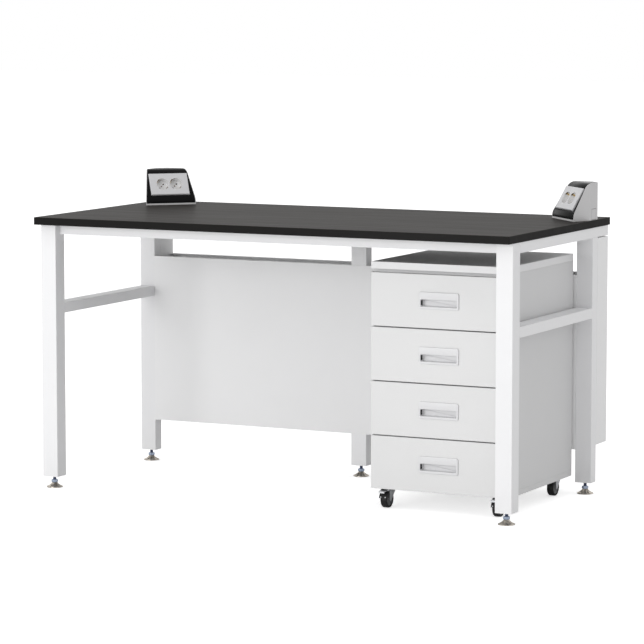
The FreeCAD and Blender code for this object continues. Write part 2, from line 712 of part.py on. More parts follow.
def slope_prism(inset):
    """The box's side view, front and top drawn in, run across the whole width."""
    body = new_body()
    sketch = new_sketch(body, "yz")
    front = f"({inset} / cos(box_tilt))"
    crest = f"(box_height - {inset})"
    brow = f"({front} + ({crest} - box_lip) * tan(box_tilt))"
    draw_outline(sketch, [
        (front, "0"), ("box_depth + overcut", "0"), ("box_depth + overcut", crest),
        (brow, crest), (front, "box_lip"),
    ])
    pad(body, sketch, "box_width + 2 * overcut")
    place(body, "-box_width / 2 - overcut")
    rounds = ((worth(brow), worth(crest), "box_round"), (worth(front), worth("box_lip"), "box_foot_round"))
    for y, z, radius in rounds:
        soften(body, "Fillet", f"{radius} - {inset}",
               lambda edge: abs(edge.CenterOfMass.y - y) < NEAR and abs(edge.CenterOfMass.z - z) < NEAR)
    return body


SOCKET_TURN = Rotation(Vector(0, 0, 1), 45)


def on_slope(item, x="0", deep="0"):
    """Stand an object on the sloping front, +Z out of it, in the plate's middle."""
    lean = "90 - box_tilt"
    item.Placement = Placement(Vector(0, 0, 0), Rotation(Vector(1, 0, 0), worth(lean)))
    item.setExpression("Placement.Rotation.Angle", terms(lean))
    y = f"plate_climb * sin(box_tilt) + ({deep}) * cos(box_tilt)"
    z = f"box_lip + plate_climb * cos(box_tilt) - ({deep}) * sin(box_tilt)"
    for axis, text in zip("xyz", (x, y, z)):
        item.setExpression(f"Placement.Base.{axis}", terms(text))
    return item


def into_corner(item, sign):
    """Turn a finished piece by 45 degrees into its corner of the worktop."""
    angle = -CORNER_TURN if sign == "" else CORNER_TURN
    return place(item, BOX_X[sign], BOX_Y, "bench_height", Rotation(Vector(0, 0, 1), angle))


def window():
    """Cutter for the plate's window through the front."""
    body = new_body()
    sketch = new_sketch(body, "xy")
    draw_outline(sketch, rectangle(f"{PLATE_WIDTH} + 2 * plate_fit", "plate_height + 2 * plate_fit"))
    pad(body, sketch, "2 * plate_thick + 2 * box_wall")
    return on_slope(body, deep="plate_thick + box_wall + box_cover")


def skin():
    """Front and top of a box, between the white rims and above the white strip."""
    solid = common(plan_prism("box_rim", "-overcut", "box_strip", "box_height"), slope_prism("0"))
    return cut(solid, slope_prism("box_cover"))


def knock_out(sign):
    """Scored rectangle low on the chamfer face that looks along X."""
    def block(inset):
        width = f"(knock_width - 2 * {inset})"
        return box((f"-{width} / 2", f"{width} / 2"), ("-knock_score", "knock_score"),
                   (f"knock_rise + {inset}", f"knock_rise + knock_height - {inset}"))
    frame = cut(block("0"), block("knock_groove"))
    angle = 180 - CORNER_TURN if sign == "" else CORNER_TURN - 180
    run = "((box_depth - box_cheek) / 2)"
    return place(frame, f"{sign}({BOX_SHOULDER} - {run})", f"box_cheek + {run}", "0",
                 Rotation(Vector(0, 0, 1), angle))


def housing(sign):
    """White shell round and beneath the cover, open below, with two screw bosses."""
    outside = common(plan_prism("0", "0", "0", "box_height"), slope_prism("0"))
    inside = common(plan_prism("box_wall", "box_wall", "-overcut", "box_height"),
                    slope_prism("(box_cover + box_wall)"))
    shell = cut(outside, skin(), inside, window(), knock_out(sign))
    bosses = [rod("z", "boss_radius", "boss_height", u, v) for u, v in boss_places(sign)]
    pilots = [rod("z", "top_screw_radius", "boss_bite + thread_gap + overcut", u, v, "-overcut")
              for u, v in boss_places(sign)]
    return cut(fuse(shell, *bosses), *pilots)


def socket_plate():
    """Silver plate with a bevelled rim and two round holes."""
    body = new_body()
    sketch = new_sketch(body, "xy")
    draw_outline(sketch, rectangle(PLATE_WIDTH, "plate_height"))
    for sign in ("-", ""):
        draw_circle(sketch, "well_radius + well_wall + plate_fit", f"{sign}(socket_pitch / 2)")
    pad(body, sketch, "plate_thick")
    top = worth("plate_thick")

    def outer_top(edge):
        level = all(abs(v.Point.z - top) < NEAR for v in edge.Vertexes)
        return level and isinstance(edge.Curve, Part.Line)
    soften(body, "Chamfer", "plate_bevel", outer_top)
    return on_slope(body, deep="plate_thick - plate_proud")


def socket_well(x):
    """Round recess with two pin holes in its floor, turned on the slant like its mate."""
    outer = "(well_radius + well_wall)"
    cup = turned([
        ("0", "-well_floor"), (outer, "-well_floor"), (outer, "well_depth"),
        ("well_radius", "well_depth"), ("well_radius", "0"), ("0", "0"),
    ])
    low = "-well_floor - overcut"
    holes = [rod("z", "pin_hole", "well_floor + 2 * overcut", f"{sign}(pin_spread / 2)", "0", low)
             for sign in ("-", "")]
    return on_slope(group(place(cut(cup, *holes), turn=SOCKET_TURN)), x, "well_depth - plate_proud")


def socket_metal(x):
    """Two pin sleeves behind the floor and two earth clips on the wall."""
    pieces = []
    for sign in ("-", ""):
        spot = f"{sign}(pin_spread / 2)"
        start = "-well_floor - sleeve_length"
        barrel = rod("z", "pin_hole + sleeve_wall", "sleeve_length", spot, "0", start)
        bore = rod("z", "pin_hole", "sleeve_length + 2 * overcut", spot, "0", f"{start} - overcut")
        pieces.append(cut(barrel, bore))
    reach = "(well_radius - clip_thick - clip_width^2 / 8 / well_radius - pivot_play)"
    across = ("-clip_width / 2", "clip_width / 2")
    for low in (reach, f"-({reach} + clip_thick)"):
        pieces.append(box(across, (low, f"{low} + clip_thick"), ("0", "clip_length")))
    return on_slope(group(place(group(*pieces), turn=SOCKET_TURN)), x, "well_depth - plate_proud")


def both_sockets(piece):
    """One kind of piece in both sockets of both boxes."""
    pairs = []
    for side, sign in SIDES:
        pair = group(*[piece(x) for x in ("-socket_pitch / 2", "socket_pitch / 2")])
        pairs.append(into_corner(pair, sign))
    return group(*pairs)


for side, sign in SIDES:
    node(f"socket_housing_{side}", into_corner(housing(sign), sign))
    node(f"socket_cover_{side}", into_corner(cut(skin(), window()), sign))
    node(f"socket_plate_{side}", into_corner(group(socket_plate()), sign))
node("socket_wells", both_sockets(socket_well))
node("socket_contacts", both_sockets(socket_metal))


# ---------------------------------------------------------------------------
# Mobile pedestal: carcase
# ---------------------------------------------------------------------------
PED_RIGHT = f"({LEG_INNER} - ped_side_gap)"
PED_LEFT = f"({PED_RIGHT} - ped_width)"
PED_MID = f"({PED_RIGHT} - ped_width / 2)"
PED_FRONT = "(-bench_depth / 2 + ped_front_inset)"
PED_BACK = f"({PED_FRONT} + ped_depth)"
CASE_FRONT = f"({PED_FRONT} + front_thick)"
PED_TOP = "(ped_bottom + ped_height)"
CAP_UNDER = f"({PED_TOP} - ped_cap)"
PLINTH_TOP = "(ped_bottom + ped_plinth)"
CASTER_SEAT = f"({PLINTH_TOP} - plinth_sheet)"
FRONTS_TOP = f"({CAP_UNDER} - finger_gap)"
FRONT_PITCH = f"(({FRONTS_TOP} - ped_bottom) / {DRAWERS})"


def pedestal_top():
    """Folded cap, open below."""
    shell = box((PED_LEFT, PED_RIGHT), (PED_FRONT, PED_BACK), (CAP_UNDER, PED_TOP))
    hollow = box((f"{PED_LEFT} + ped_sheet", f"{PED_RIGHT} - ped_sheet"),
                 (f"{PED_FRONT} + ped_sheet", f"{PED_BACK} - ped_sheet"),
                 (f"{CAP_UNDER} - overcut", f"{PED_TOP} - ped_sheet"))
    return cut(shell, hollow)


def pedestal_shell():
    """Two sides and the back, folded from one sheet, with an angle across the front below the top."""
    shell = box((PED_LEFT, PED_RIGHT), (CASE_FRONT, PED_BACK), (PLINTH_TOP, CAP_UNDER))
    hollow = box((f"{PED_LEFT} + ped_sheet", f"{PED_RIGHT} - ped_sheet"),
                 (f"{CASE_FRONT} - overcut", f"{PED_BACK} - ped_sheet"),
                 (f"{PLINTH_TOP} - overcut", f"{CAP_UNDER} + overcut"))
    low = f"{CAP_UNDER} - head_rail_height"
    angle = cut(box((PED_LEFT, PED_RIGHT), (CASE_FRONT, f"{CASE_FRONT} + head_rail_depth"), (low, CAP_UNDER)),
                box((PED_LEFT, PED_RIGHT), (f"{CASE_FRONT} + ped_sheet", f"{CASE_FRONT} + head_rail_depth"),
                    (f"{low} + ped_sheet", CAP_UNDER)))
    return fuse(cut(shell, hollow), angle)


def pedestal_base():
    """Shallow tray, open below, with the casters fixed under its sheet."""
    shell = box((PED_LEFT, PED_RIGHT), (CASE_FRONT, PED_BACK), ("ped_bottom", PLINTH_TOP))
    hollow = box((f"{PED_LEFT} + plinth_sheet", f"{PED_RIGHT} - plinth_sheet"),
                 (f"{CASE_FRONT} + plinth_sheet", f"{PED_BACK} - plinth_sheet"),
                 ("ped_bottom - overcut", CASTER_SEAT))
    return cut(shell, hollow)


node("pedestal_shell", pedestal_shell())
node("pedestal_top", pedestal_top())
node("pedestal_base", pedestal_base())


# ---------------------------------------------------------------------------
# Drawers, counted from the top
# ---------------------------------------------------------------------------
DRAWER_LEFT = f"({PED_LEFT} + ped_sheet + runner_room)"
DRAWER_RIGHT = f"({PED_RIGHT} - ped_sheet - runner_room)"
DRAWER_BACK = f"({PED_BACK} - drawer_back_gap)"
RUNNER_FRONT = f"({CASE_FRONT} + runner_inset)"


def front_heights(number):
    """Bottom and top of one drawer front."""
    crest = f"({FRONTS_TOP} - {number} * {FRONT_PITCH})"
    return f"({crest} - {FRONT_PITCH} + front_gap)", crest


def pull_middle(number):
    low, high = front_heights(number)
    return f"(({low} + {high}) / 2 + pull_lift)"


def drawer_front(number):
    """Folded pan with a return flange against the drawer and a window for its pull."""
    low, high = front_heights(number)
    body = new_body()
    sketch = new_sketch(body, "xz")
    draw_outline(sketch, rectangle("ped_width", f"{high} - {low}"))
    pad(body, sketch, "front_thick")
    soften(body, "Fillet", "front_round", on_face(-worth("front_thick")))
    place(body, PED_MID, CASE_FRONT, f"({low} + {high}) / 2")
    slot_z = f"({pull_middle(number)} - slot_drop)"
    half_x = "(slot_width / 2 + pull_wall + pull_fit)"
    half_z = "(slot_height / 2 + pull_wall + pull_fit)"
    opening = box((f"{PED_MID} - {half_x}", f"{PED_MID} + {half_x}"),
                  (f"{PED_FRONT} - overcut", f"{PED_FRONT} + front_sheet + overcut"),
                  (f"{slot_z} - {half_z}", f"{slot_z} + {half_z}"))
    hollow = box((f"{PED_LEFT} + front_sheet", f"{PED_RIGHT} - front_sheet"),
                 (f"{PED_FRONT} + front_sheet", f"{CASE_FRONT} - front_sheet"),
                 (f"{low} + front_sheet", f"{high} - front_sheet"))
    mouth = box((f"{PED_LEFT} + front_lip", f"{PED_RIGHT} - front_lip"),
                (f"{CASE_FRONT} - front_sheet - overcut", f"{CASE_FRONT} + overcut"),
                (f"{low} + front_lip", f"{high} - front_lip"))
    return cut(body, opening, hollow, mouth)


def drawer_pull(number):
    """Face plate with a finger cup behind its slot."""
    body = new_body()
    sketch = new_sketch(body, "xz")
    draw_outline(sketch, rectangle("pull_width", "pull_height"))
    pad(body, sketch, "pull_thick")
    soften(body, "Fillet", "pull_round", runs_along(1))
    soften(body, "Fillet", "pull_edge", on_face(-worth("pull_thick")))
    place(body, PED_MID, PED_FRONT, pull_middle(number))
    slot_z = f"({pull_middle(number)} - slot_drop)"
    half_x = "slot_width / 2"
    half_z = "slot_height / 2"
    cup = box((f"{PED_MID} - {half_x} - pull_wall", f"{PED_MID} + {half_x} + pull_wall"),
              (PED_FRONT, f"{PED_FRONT} + slot_depth + pull_wall"),
              (f"{slot_z} - {half_z} - pull_wall", f"{slot_z} + {half_z} + pull_wall"))
    hollow = box((f"{PED_MID} - {half_x}", f"{PED_MID} + {half_x}"),
                 (f"{PED_FRONT} - pull_thick - overcut", f"{PED_FRONT} + slot_depth"),
                 (f"{slot_z} - {half_z}", f"{slot_z} + {half_z}"))
    return cut(fuse(body, cup), hollow)


def runner_middle(number):
    low, high = front_heights(number)
    return f"(({low} + {high}) / 2)"


def drawer_rail(number, sign):
    """Folded channel along a drawer's side, its back closed by the drawer."""
    half = "(runner_height / 2 - runner_sheet - runner_play)"
    middle = runner_middle(number)
    height = (f"{middle} - {half}", f"{middle} + {half}")
    inner_height = (f"{height[0]} + runner_sheet", f"{height[1]} - runner_sheet")
    open_length = (f"{RUNNER_FRONT} - overcut", f"{DRAWER_BACK} + overcut")
    reach = "(runner_room - runner_sheet - runner_play)"
    if sign == "":
        shell_x = (DRAWER_RIGHT, f"{DRAWER_RIGHT} + {reach}")
        hollow_x = (DRAWER_RIGHT, f"{shell_x[1]} - runner_sheet")
    else:
        shell_x = (f"{DRAWER_LEFT} - {reach}", DRAWER_LEFT)
        hollow_x = (f"{shell_x[0]} + runner_sheet", DRAWER_LEFT)
    return cut(box(shell_x, (RUNNER_FRONT, DRAWER_BACK), height), box(hollow_x, open_length, inner_height))


def drawer_box(number):
    """Open steel tray with a rail welded on each side."""
    low, high = front_heights(number)
    bottom = f"{low} + drawer_margin"
    crest = f"{high} - drawer_margin"
    tray = cut(
        box((DRAWER_LEFT, DRAWER_RIGHT), (CASE_FRONT, DRAWER_BACK), (bottom, crest)),
        box((f"{DRAWER_LEFT} + drawer_sheet", f"{DRAWER_RIGHT} - drawer_sheet"),
            (f"{CASE_FRONT} + drawer_sheet", f"{DRAWER_BACK} - drawer_sheet"),
            (f"{bottom} + drawer_sheet", f"{crest} + overcut")))
    return fuse(tray, *[drawer_rail(number, sign) for side, sign in SIDES])


def fixed_runner(number, sign):
    """Channel on the side panel, open toward the drawer."""
    middle = runner_middle(number)
    height = (f"{middle} - runner_height / 2", f"{middle} + runner_height / 2")
    inner_height = (f"{height[0]} + runner_sheet", f"{height[1]} - runner_sheet")
    length = (RUNNER_FRONT, f"{DRAWER_BACK} + runner_inset")
    open_length = (f"{length[0]} - overcut", f"{length[1]} + overcut")
    if sign == "":
        outer = f"{PED_RIGHT} - ped_sheet"
        shell = box((f"{outer} - runner_room + runner_play", outer), length, height)
        hollow = box((f"{outer} - runner_room", f"{outer} - runner_sheet"), open_length, inner_height)
    else:
        outer = f"{PED_LEFT} + ped_sheet"
        shell = box((outer, f"{outer} + runner_room - runner_play"), length, height)
        hollow = box((f"{outer} + runner_sheet", f"{outer} + runner_room"), open_length, inner_height)
    return cut(shell, hollow)


for number in range(DRAWERS):
    node(f"drawer_box_{number + 1}", drawer_box(number))
    node(f"drawer_front_{number + 1}", drawer_front(number))
    node(f"drawer_pull_{number + 1}", drawer_pull(number))
runners = [fixed_runner(number, sign) for number in range(DRAWERS) for side, sign in SIDES]
node("drawer_runners", group(*runners))


# ---------------------------------------------------------------------------
# Casters.  Each is modelled with its swivel axis on Z, the wheel trailing
# toward -Y and the floor at zero, then moved under the pedestal.
# ---------------------------------------------------------------------------
CASTER_X = {"left": f"({PED_LEFT} + caster_inset_x)", "right": f"({PED_RIGHT} - caster_inset_x)"}
CASTER_Y = {"front": f"({CASE_FRONT} + caster_inset_front)", "rear": f"({PED_BACK} - caster_inset_rear)"}
CASTERS = [(end, side) for end in ("front", "rear") for side in ("left", "right")]
PLATE_UNDER = f"({CASTER_SEAT} - caster_plate_thick)"
CROWN_TOP = "(ped_bottom - swivel_gap)"
CROWN_UNDER = f"({CROWN_TOP} - fork_crown)"
FORK_INNER = "(wheel_width / 2 + side_play)"
FORK_OUTER = f"({FORK_INNER} + fork_cheek)"
FORK_NOSE = "(-caster_trail - fork_lead)"
PEDAL_Y = f"({FORK_NOSE} - pedal_ahead)"
PEDAL_Z = f"({CROWN_TOP} - pedal_drop)"


def under_pedestal(item, end, side):
    """Move a caster piece to its swivel axis."""
    return place(item, CASTER_X[side], CASTER_Y[end])


def caster_mount(end, side):
    """Square plate inside the tray; its swivel race ends level with the rim, the kingpin below it."""
    half = "caster_plate / 2"
    plate = box((f"-{half}", half), (f"-{half}", half), (PLATE_UNDER, CASTER_SEAT))
    race = rod("z", "race_radius", f"{PLATE_UNDER} - ped_bottom", z="ped_bottom")
    pin = rod("z", "king_radius", f"ped_bottom - {CROWN_UNDER}", z=CROWN_UNDER)
    return under_pedestal(fuse(plate, race, pin), end, side)


def along_axle(radius, reach="0"):
    """Cylinder about the wheel's axle, as wide as the fork and a reach more on each side."""
    half = f"({FORK_OUTER} + {reach})"
    return rod("x", radius, f"2 * {half}", f"-{half}", "-caster_trail", "wheel_radius")


def fork_cheek(low):
    """Leg that tapers from the crown down to the axle."""
    body = new_body()
    sketch = new_sketch(body, "yz")
    foot = "wheel_radius - axle_head"
    draw_outline(sketch, [
        ("race_radius", CROWN_TOP), (FORK_NOSE, CROWN_TOP),
        ("-caster_trail - axle_head", foot), ("-caster_trail + axle_head", foot),
    ])
    pad(body, sketch, "fork_cheek")
    return place(body, low)


def brake_hood():
    """Band round the front of the wheel, from the crown down to just above the axle."""
    inner = "(wheel_radius + hood_gap)"
    outer = f"({inner} + hood_thick)"
    band = cut(along_axle(outer), along_axle(inner, "overcut"))
    keep = box((f"-{FORK_OUTER}", FORK_OUTER), (f"-caster_trail - {outer}", f"{FORK_NOSE} + hood_thick"),
               ("wheel_radius + hood_rise", CROWN_TOP))
    return common(band, keep)


def pedal_ear(low):
    """Lug of a front fork that holds one end of the pedal's pin."""
    return box((low, f"{low} + fork_cheek"), (f"{PEDAL_Y} - pedal_ear", f"{FORK_NOSE} + fork_crown"),
               (f"{PEDAL_Z} - pedal_ear", CROWN_TOP))


def fork(end):
    """Crown, two cheeks and the axle; front forks add the brake's hood and the pedal's ears."""
    crown = box((f"-{FORK_OUTER}", FORK_OUTER), (FORK_NOSE, "race_radius"), (CROWN_UNDER, CROWN_TOP))
    lows = (f"-{FORK_OUTER}", FORK_INNER)
    pieces = [crown] + [fork_cheek(low) for low in lows]
    holes = [rod("z", "king_radius + pivot_play", "fork_crown + 2 * overcut", z=f"{CROWN_UNDER} - overcut")]
    if end == "front":
        pieces += [brake_hood()] + [pedal_ear(low) for low in lows]
        holes.append(rod("x", "pedal_pin + pivot_play", f"2 * {FORK_OUTER} + 2 * overcut",
                         f"-{FORK_OUTER} - overcut", PEDAL_Y, PEDAL_Z))
    frame = cut(fuse(*pieces), *holes)
    heads = [rod("x", "axle_head", "axle_head_flat", x, "-caster_trail", "wheel_radius")
             for x in (f"-{FORK_OUTER} - axle_head_flat", FORK_OUTER)]
    return fuse(frame, along_axle("axle_radius"), *heads)


def wheel():
    """Tyre and hub in one moulding, dished on both faces, bored for the axle."""
    half = "(wheel_width / 2)"
    rim = "(wheel_radius - wheel_tread)"
    dish = f"({half} - wheel_dish)"
    profile = turned([
        ("axle_radius + pivot_play", f"-{half}"), ("wheel_hub", f"-{half}"), ("wheel_hub", f"-{dish}"),
        (rim, f"-{dish}"), (rim, f"-{half}"), ("wheel_radius", f"-{half}"),
        ("wheel_radius", half), (rim, half), (rim, dish),
        ("wheel_hub", dish), ("wheel_hub", half), ("axle_radius + pivot_play", half),
    ])
    radius, side = worth("wheel_radius"), worth(half)

    def shoulder(edge):
        circle = isinstance(edge.Curve, Part.Circle) and abs(edge.Curve.Radius - radius) < NEAR
        return circle and abs(abs(edge.Vertexes[0].Point.z) - side) < NEAR
    soften(profile, "Fillet", "wheel_round", shoulder)
    place(profile, "0", "-caster_trail", "wheel_radius", ALONG["x"])
    return group(profile)


def brake_pedal():
    """Zinc lever on a pin between the fork's ears."""
    pin = rod("x", "pedal_pin", f"2 * {FORK_OUTER}", f"-{FORK_OUTER}", PEDAL_Y, PEDAL_Z)
    half = f"({FORK_INNER} - pedal_side_gap)"
    knuckle = rod("x", "pedal_pin + pedal_thick / 2", f"2 * {half}", f"-{half}", PEDAL_Y, PEDAL_Z)
    lever = box((f"-{half}", half), (f"{PEDAL_Y} - pedal_length", PEDAL_Y),
                (f"{PEDAL_Z} - pedal_thick / 2", f"{PEDAL_Z} + pedal_thick / 2"))
    return fuse(pin, knuckle, lever)


node("caster_mounts", group(*[caster_mount(end, side) for end, side in CASTERS]))
for end, side in CASTERS:
    node(f"caster_fork_{end}_{side}", under_pedestal(group(fork(end)), end, side))
    node(f"caster_wheel_{end}_{side}", under_pedestal(group(wheel()), end, side))
for side in ("left", "right"):
    node(f"brake_pedal_{side}", under_pedestal(group(brake_pedal()), "front", side))


# ---------------------------------------------------------------------------
# Recompute, check every object and write one file per node
# ---------------------------------------------------------------------------
doc.recompute()
for item in doc.Objects:
    bad = [word for word in item.State if word in ("Invalid", "Error")]
    if bad:
        raise RuntimeError(f"{item.Name} ({item.Label}): {item.State}")
for item in NODES:
    if item.Shape.isNull() or not item.Shape.isValid():
        raise RuntimeError(f"{item.Label}: bad shape")
    item.Shape.exportStep(f"parts/{item.Label}.step")
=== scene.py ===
import math

import bpy
import numpy as np
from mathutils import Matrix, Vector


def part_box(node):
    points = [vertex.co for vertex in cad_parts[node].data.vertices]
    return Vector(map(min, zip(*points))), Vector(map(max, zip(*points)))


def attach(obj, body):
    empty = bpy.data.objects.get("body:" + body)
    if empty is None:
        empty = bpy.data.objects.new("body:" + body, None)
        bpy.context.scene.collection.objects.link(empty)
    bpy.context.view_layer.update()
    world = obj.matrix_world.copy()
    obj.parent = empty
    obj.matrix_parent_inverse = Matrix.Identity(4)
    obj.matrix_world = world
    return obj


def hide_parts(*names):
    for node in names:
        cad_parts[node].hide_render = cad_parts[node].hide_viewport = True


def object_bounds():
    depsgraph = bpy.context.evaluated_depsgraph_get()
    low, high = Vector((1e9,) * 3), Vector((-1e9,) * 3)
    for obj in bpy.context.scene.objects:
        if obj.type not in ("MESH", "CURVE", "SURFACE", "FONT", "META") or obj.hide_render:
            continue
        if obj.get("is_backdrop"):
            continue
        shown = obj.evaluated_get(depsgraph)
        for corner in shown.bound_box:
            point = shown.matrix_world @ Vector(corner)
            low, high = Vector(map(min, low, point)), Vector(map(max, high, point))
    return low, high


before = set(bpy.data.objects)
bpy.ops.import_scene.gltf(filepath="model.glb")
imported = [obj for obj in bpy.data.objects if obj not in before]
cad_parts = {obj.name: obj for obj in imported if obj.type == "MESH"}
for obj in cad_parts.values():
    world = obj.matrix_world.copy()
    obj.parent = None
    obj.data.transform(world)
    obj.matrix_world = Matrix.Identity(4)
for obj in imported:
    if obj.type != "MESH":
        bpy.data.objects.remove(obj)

cad_low, cad_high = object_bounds()

# ---------------------------------------------------------------------------
# Welded frame: five legs, rails under the worktop and two crossbars, of mild
# steel tube.  The joints are ground flush and the whole frame is sprayed with
# white powder, which bakes to a satin skin with a faint orange peel.
# ---------------------------------------------------------------------------
FRAME_NODES = ("leg_front_left", "leg_front_right", "leg_rear_left", "leg_rear_middle",
               "leg_rear_right", "side_rail_left", "side_rail_right", "crossbar_left",
               "crossbar_right", "front_rail", "rear_rail")
FRAME_WHITE = (0.87, 0.87, 0.88)
DUST_GREY = (0.52, 0.50, 0.47)
SAME_POINT = 0.00001                 # corners nearer than this, in metres, are one corner
SHARP_TURN = math.radians(40)        # an edge that turns more than this is eased


def put(tree, kind, inputs=None, **settings):
    """Add one node; an input is either a constant or the socket that feeds it."""
    made = tree.nodes.new(kind)
    for key, value in settings.items():
        setattr(made, key, value)
    for socket, value in (inputs or {}).items():
        if isinstance(value, bpy.types.NodeSocket):
            tree.links.new(value, made.inputs[socket])
        else:
            made.inputs[socket].default_value = value
    return made


def maths(tree, operation, *terms):
    """One Math node on the terms given; returns its result."""
    return put(tree, "ShaderNodeMath", dict(enumerate(terms)), operation=operation).outputs[0]


def new_effect(name, inputs, outputs):
    """Empty shader node group; returns its tree, what comes in and what goes out."""
    tree = bpy.data.node_groups.new(name, "ShaderNodeTree")
    for socket, kind, value in inputs:
        made = tree.interface.new_socket(name=socket, in_out="INPUT", socket_type=kind)
        made.default_value = value
    for socket, kind in outputs:
        tree.interface.new_socket(name=socket, in_out="OUTPUT", socket_type=kind)
    return tree, tree.nodes.new("NodeGroupInput").outputs, tree.nodes.new("NodeGroupOutput").inputs


COLOUR, NUMBER, DIRECTION = "NodeSocketColor", "NodeSocketFloat", "NodeSocketVector"


def coated_skin_effect():
    """Colour that drifts in soft clouds and takes dust near the floor; fine bumps all over."""
    tree, given, result = new_effect(
        "coated_skin",
        (("Colour", COLOUR, (0.8, 0.8, 0.8, 1)), ("Dust Colour", COLOUR, (*DUST_GREY, 1)),
         ("Dust", NUMBER, 0.0), ("Dust Height", NUMBER, 0.15), ("Mottle", NUMBER, 0.03),
         ("Roughness", NUMBER, 0.4), ("Grain", NUMBER, 700.0), ("Depth", NUMBER, 0.00003)),
        (("Colour", COLOUR), ("Roughness", NUMBER), ("Normal", DIRECTION)))
    place = put(tree, "ShaderNodeTexCoord").outputs["Object"]
    cloud = put(tree, "ShaderNodeTexNoise",
                {"Vector": place, "Scale": 6.0, "Detail": 4.0, "Roughness": 0.6}).outputs["Fac"]
    fine = put(tree, "ShaderNodeTexNoise",
               {"Vector": place, "Scale": given["Grain"], "Detail": 1.0}).outputs["Fac"]
    keep = maths(tree, "SUBTRACT", 1.0, maths(tree, "MULTIPLY", cloud, given["Mottle"]))
    toned = put(tree, "ShaderNodeVectorMath", {0: given["Colour"], "Scale": keep},
                operation="SCALE")
    height = put(tree, "ShaderNodeSeparateXYZ", {"Vector": place}).outputs["Z"]
    low = put(tree, "ShaderNodeMapRange", {"Value": height, "From Max": given["Dust Height"],
                                           "To Min": 1.0, "To Max": 0.0})
    smut = maths(tree, "MULTIPLY", low.outputs[0], cloud)
    dust = maths(tree, "MULTIPLY", smut, given["Dust"])
    mixed = put(tree, "ShaderNodeMix", {"Factor": dust, "A": toned.outputs[0],
                                        "B": given["Dust Colour"]}, data_type="RGBA")
    tree.links.new(mixed.outputs["Result"], result["Colour"])
    rub = maths(tree, "SUBTRACT", cloud, 0.5)
    tree.links.new(maths(tree, "MULTIPLY_ADD", rub, 0.15, given["Roughness"]), result["Roughness"])
    bump = put(tree, "ShaderNodeBump", {"Height": fine, "Distance": given["Depth"]})
    tree.links.new(bump.outputs["Normal"], result["Normal"])
    return tree


coated_skin = coated_skin_effect()


def material(name, effect, values, **constants):
    """Principled material with one effect group; values go to the group, constants round it."""
    made = bpy.data.materials.new(name)
    made.use_nodes = True
    tree = made.node_tree
    shader = tree.nodes["Principled BSDF"]
    group = put(tree, "ShaderNodeGroup", node_tree=effect)
    for socket, value in values.items():
        group.inputs[socket].default_value = (*value, 1) if isinstance(value, tuple) else value
    tree.links.new(group.outputs["Colour"], shader.inputs["Base Color"])
    tree.links.new(group.outputs["Roughness"], shader.inputs["Roughness"])
    tree.links.new(group.outputs["Normal"], shader.inputs["Normal"])
    for socket, value in constants.items():
        shader.inputs[socket.replace("_", " ")].default_value = value
    return made


def finish_nodes(names, look, edge=0.0):
    """Give CAD nodes a material; edge is the radius on their folded or sawn edges, in metres."""
    for name in names:
        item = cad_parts[name]
        item.data.materials.clear()
        item.data.materials.append(look)
        if edge:
            weld = item.modifiers.new("weld", "WELD")
            weld.merge_threshold = SAME_POINT
            ease = item.modifiers.new("edge", "BEVEL")
            ease.width = edge
            ease.segments = 2
            ease.limit_method = "ANGLE"
            ease.angle_limit = SHARP_TURN


frame_powder = material(
    "frame_powder", coated_skin,
    {"Colour": FRAME_WHITE, "Dust": 0.25, "Dust Height": 0.12,
     "Roughness": 0.42, "Grain": 600.0, "Depth": 0.00003},
    Specular_IOR_Level=0.4)
finish_nodes(FRAME_NODES, frame_powder)

# ---------------------------------------------------------------------------
# Worktop: a 22 mm board faced with black high-pressure laminate.  The face is a
# fine pebble grain with a low sheen; painted shade makes the banded sawn edges darker.
# ---------------------------------------------------------------------------
TOP_BLACK = (0.029, 0.026, 0.0235)
TOP_SPECK = (0.064, 0.059, 0.054)
# painted shade: the colour of the worktop's sawn edges, darker than the face
TOP_EDGE_SHADE = (0.012, 0.0115, 0.011)
TOP_HEIGHT = 0.8
EDGE_SHADE_START, EDGE_SHADE_FULL = 0.0005, 0.0012   # metres below the face where the edges' painted shade sets in
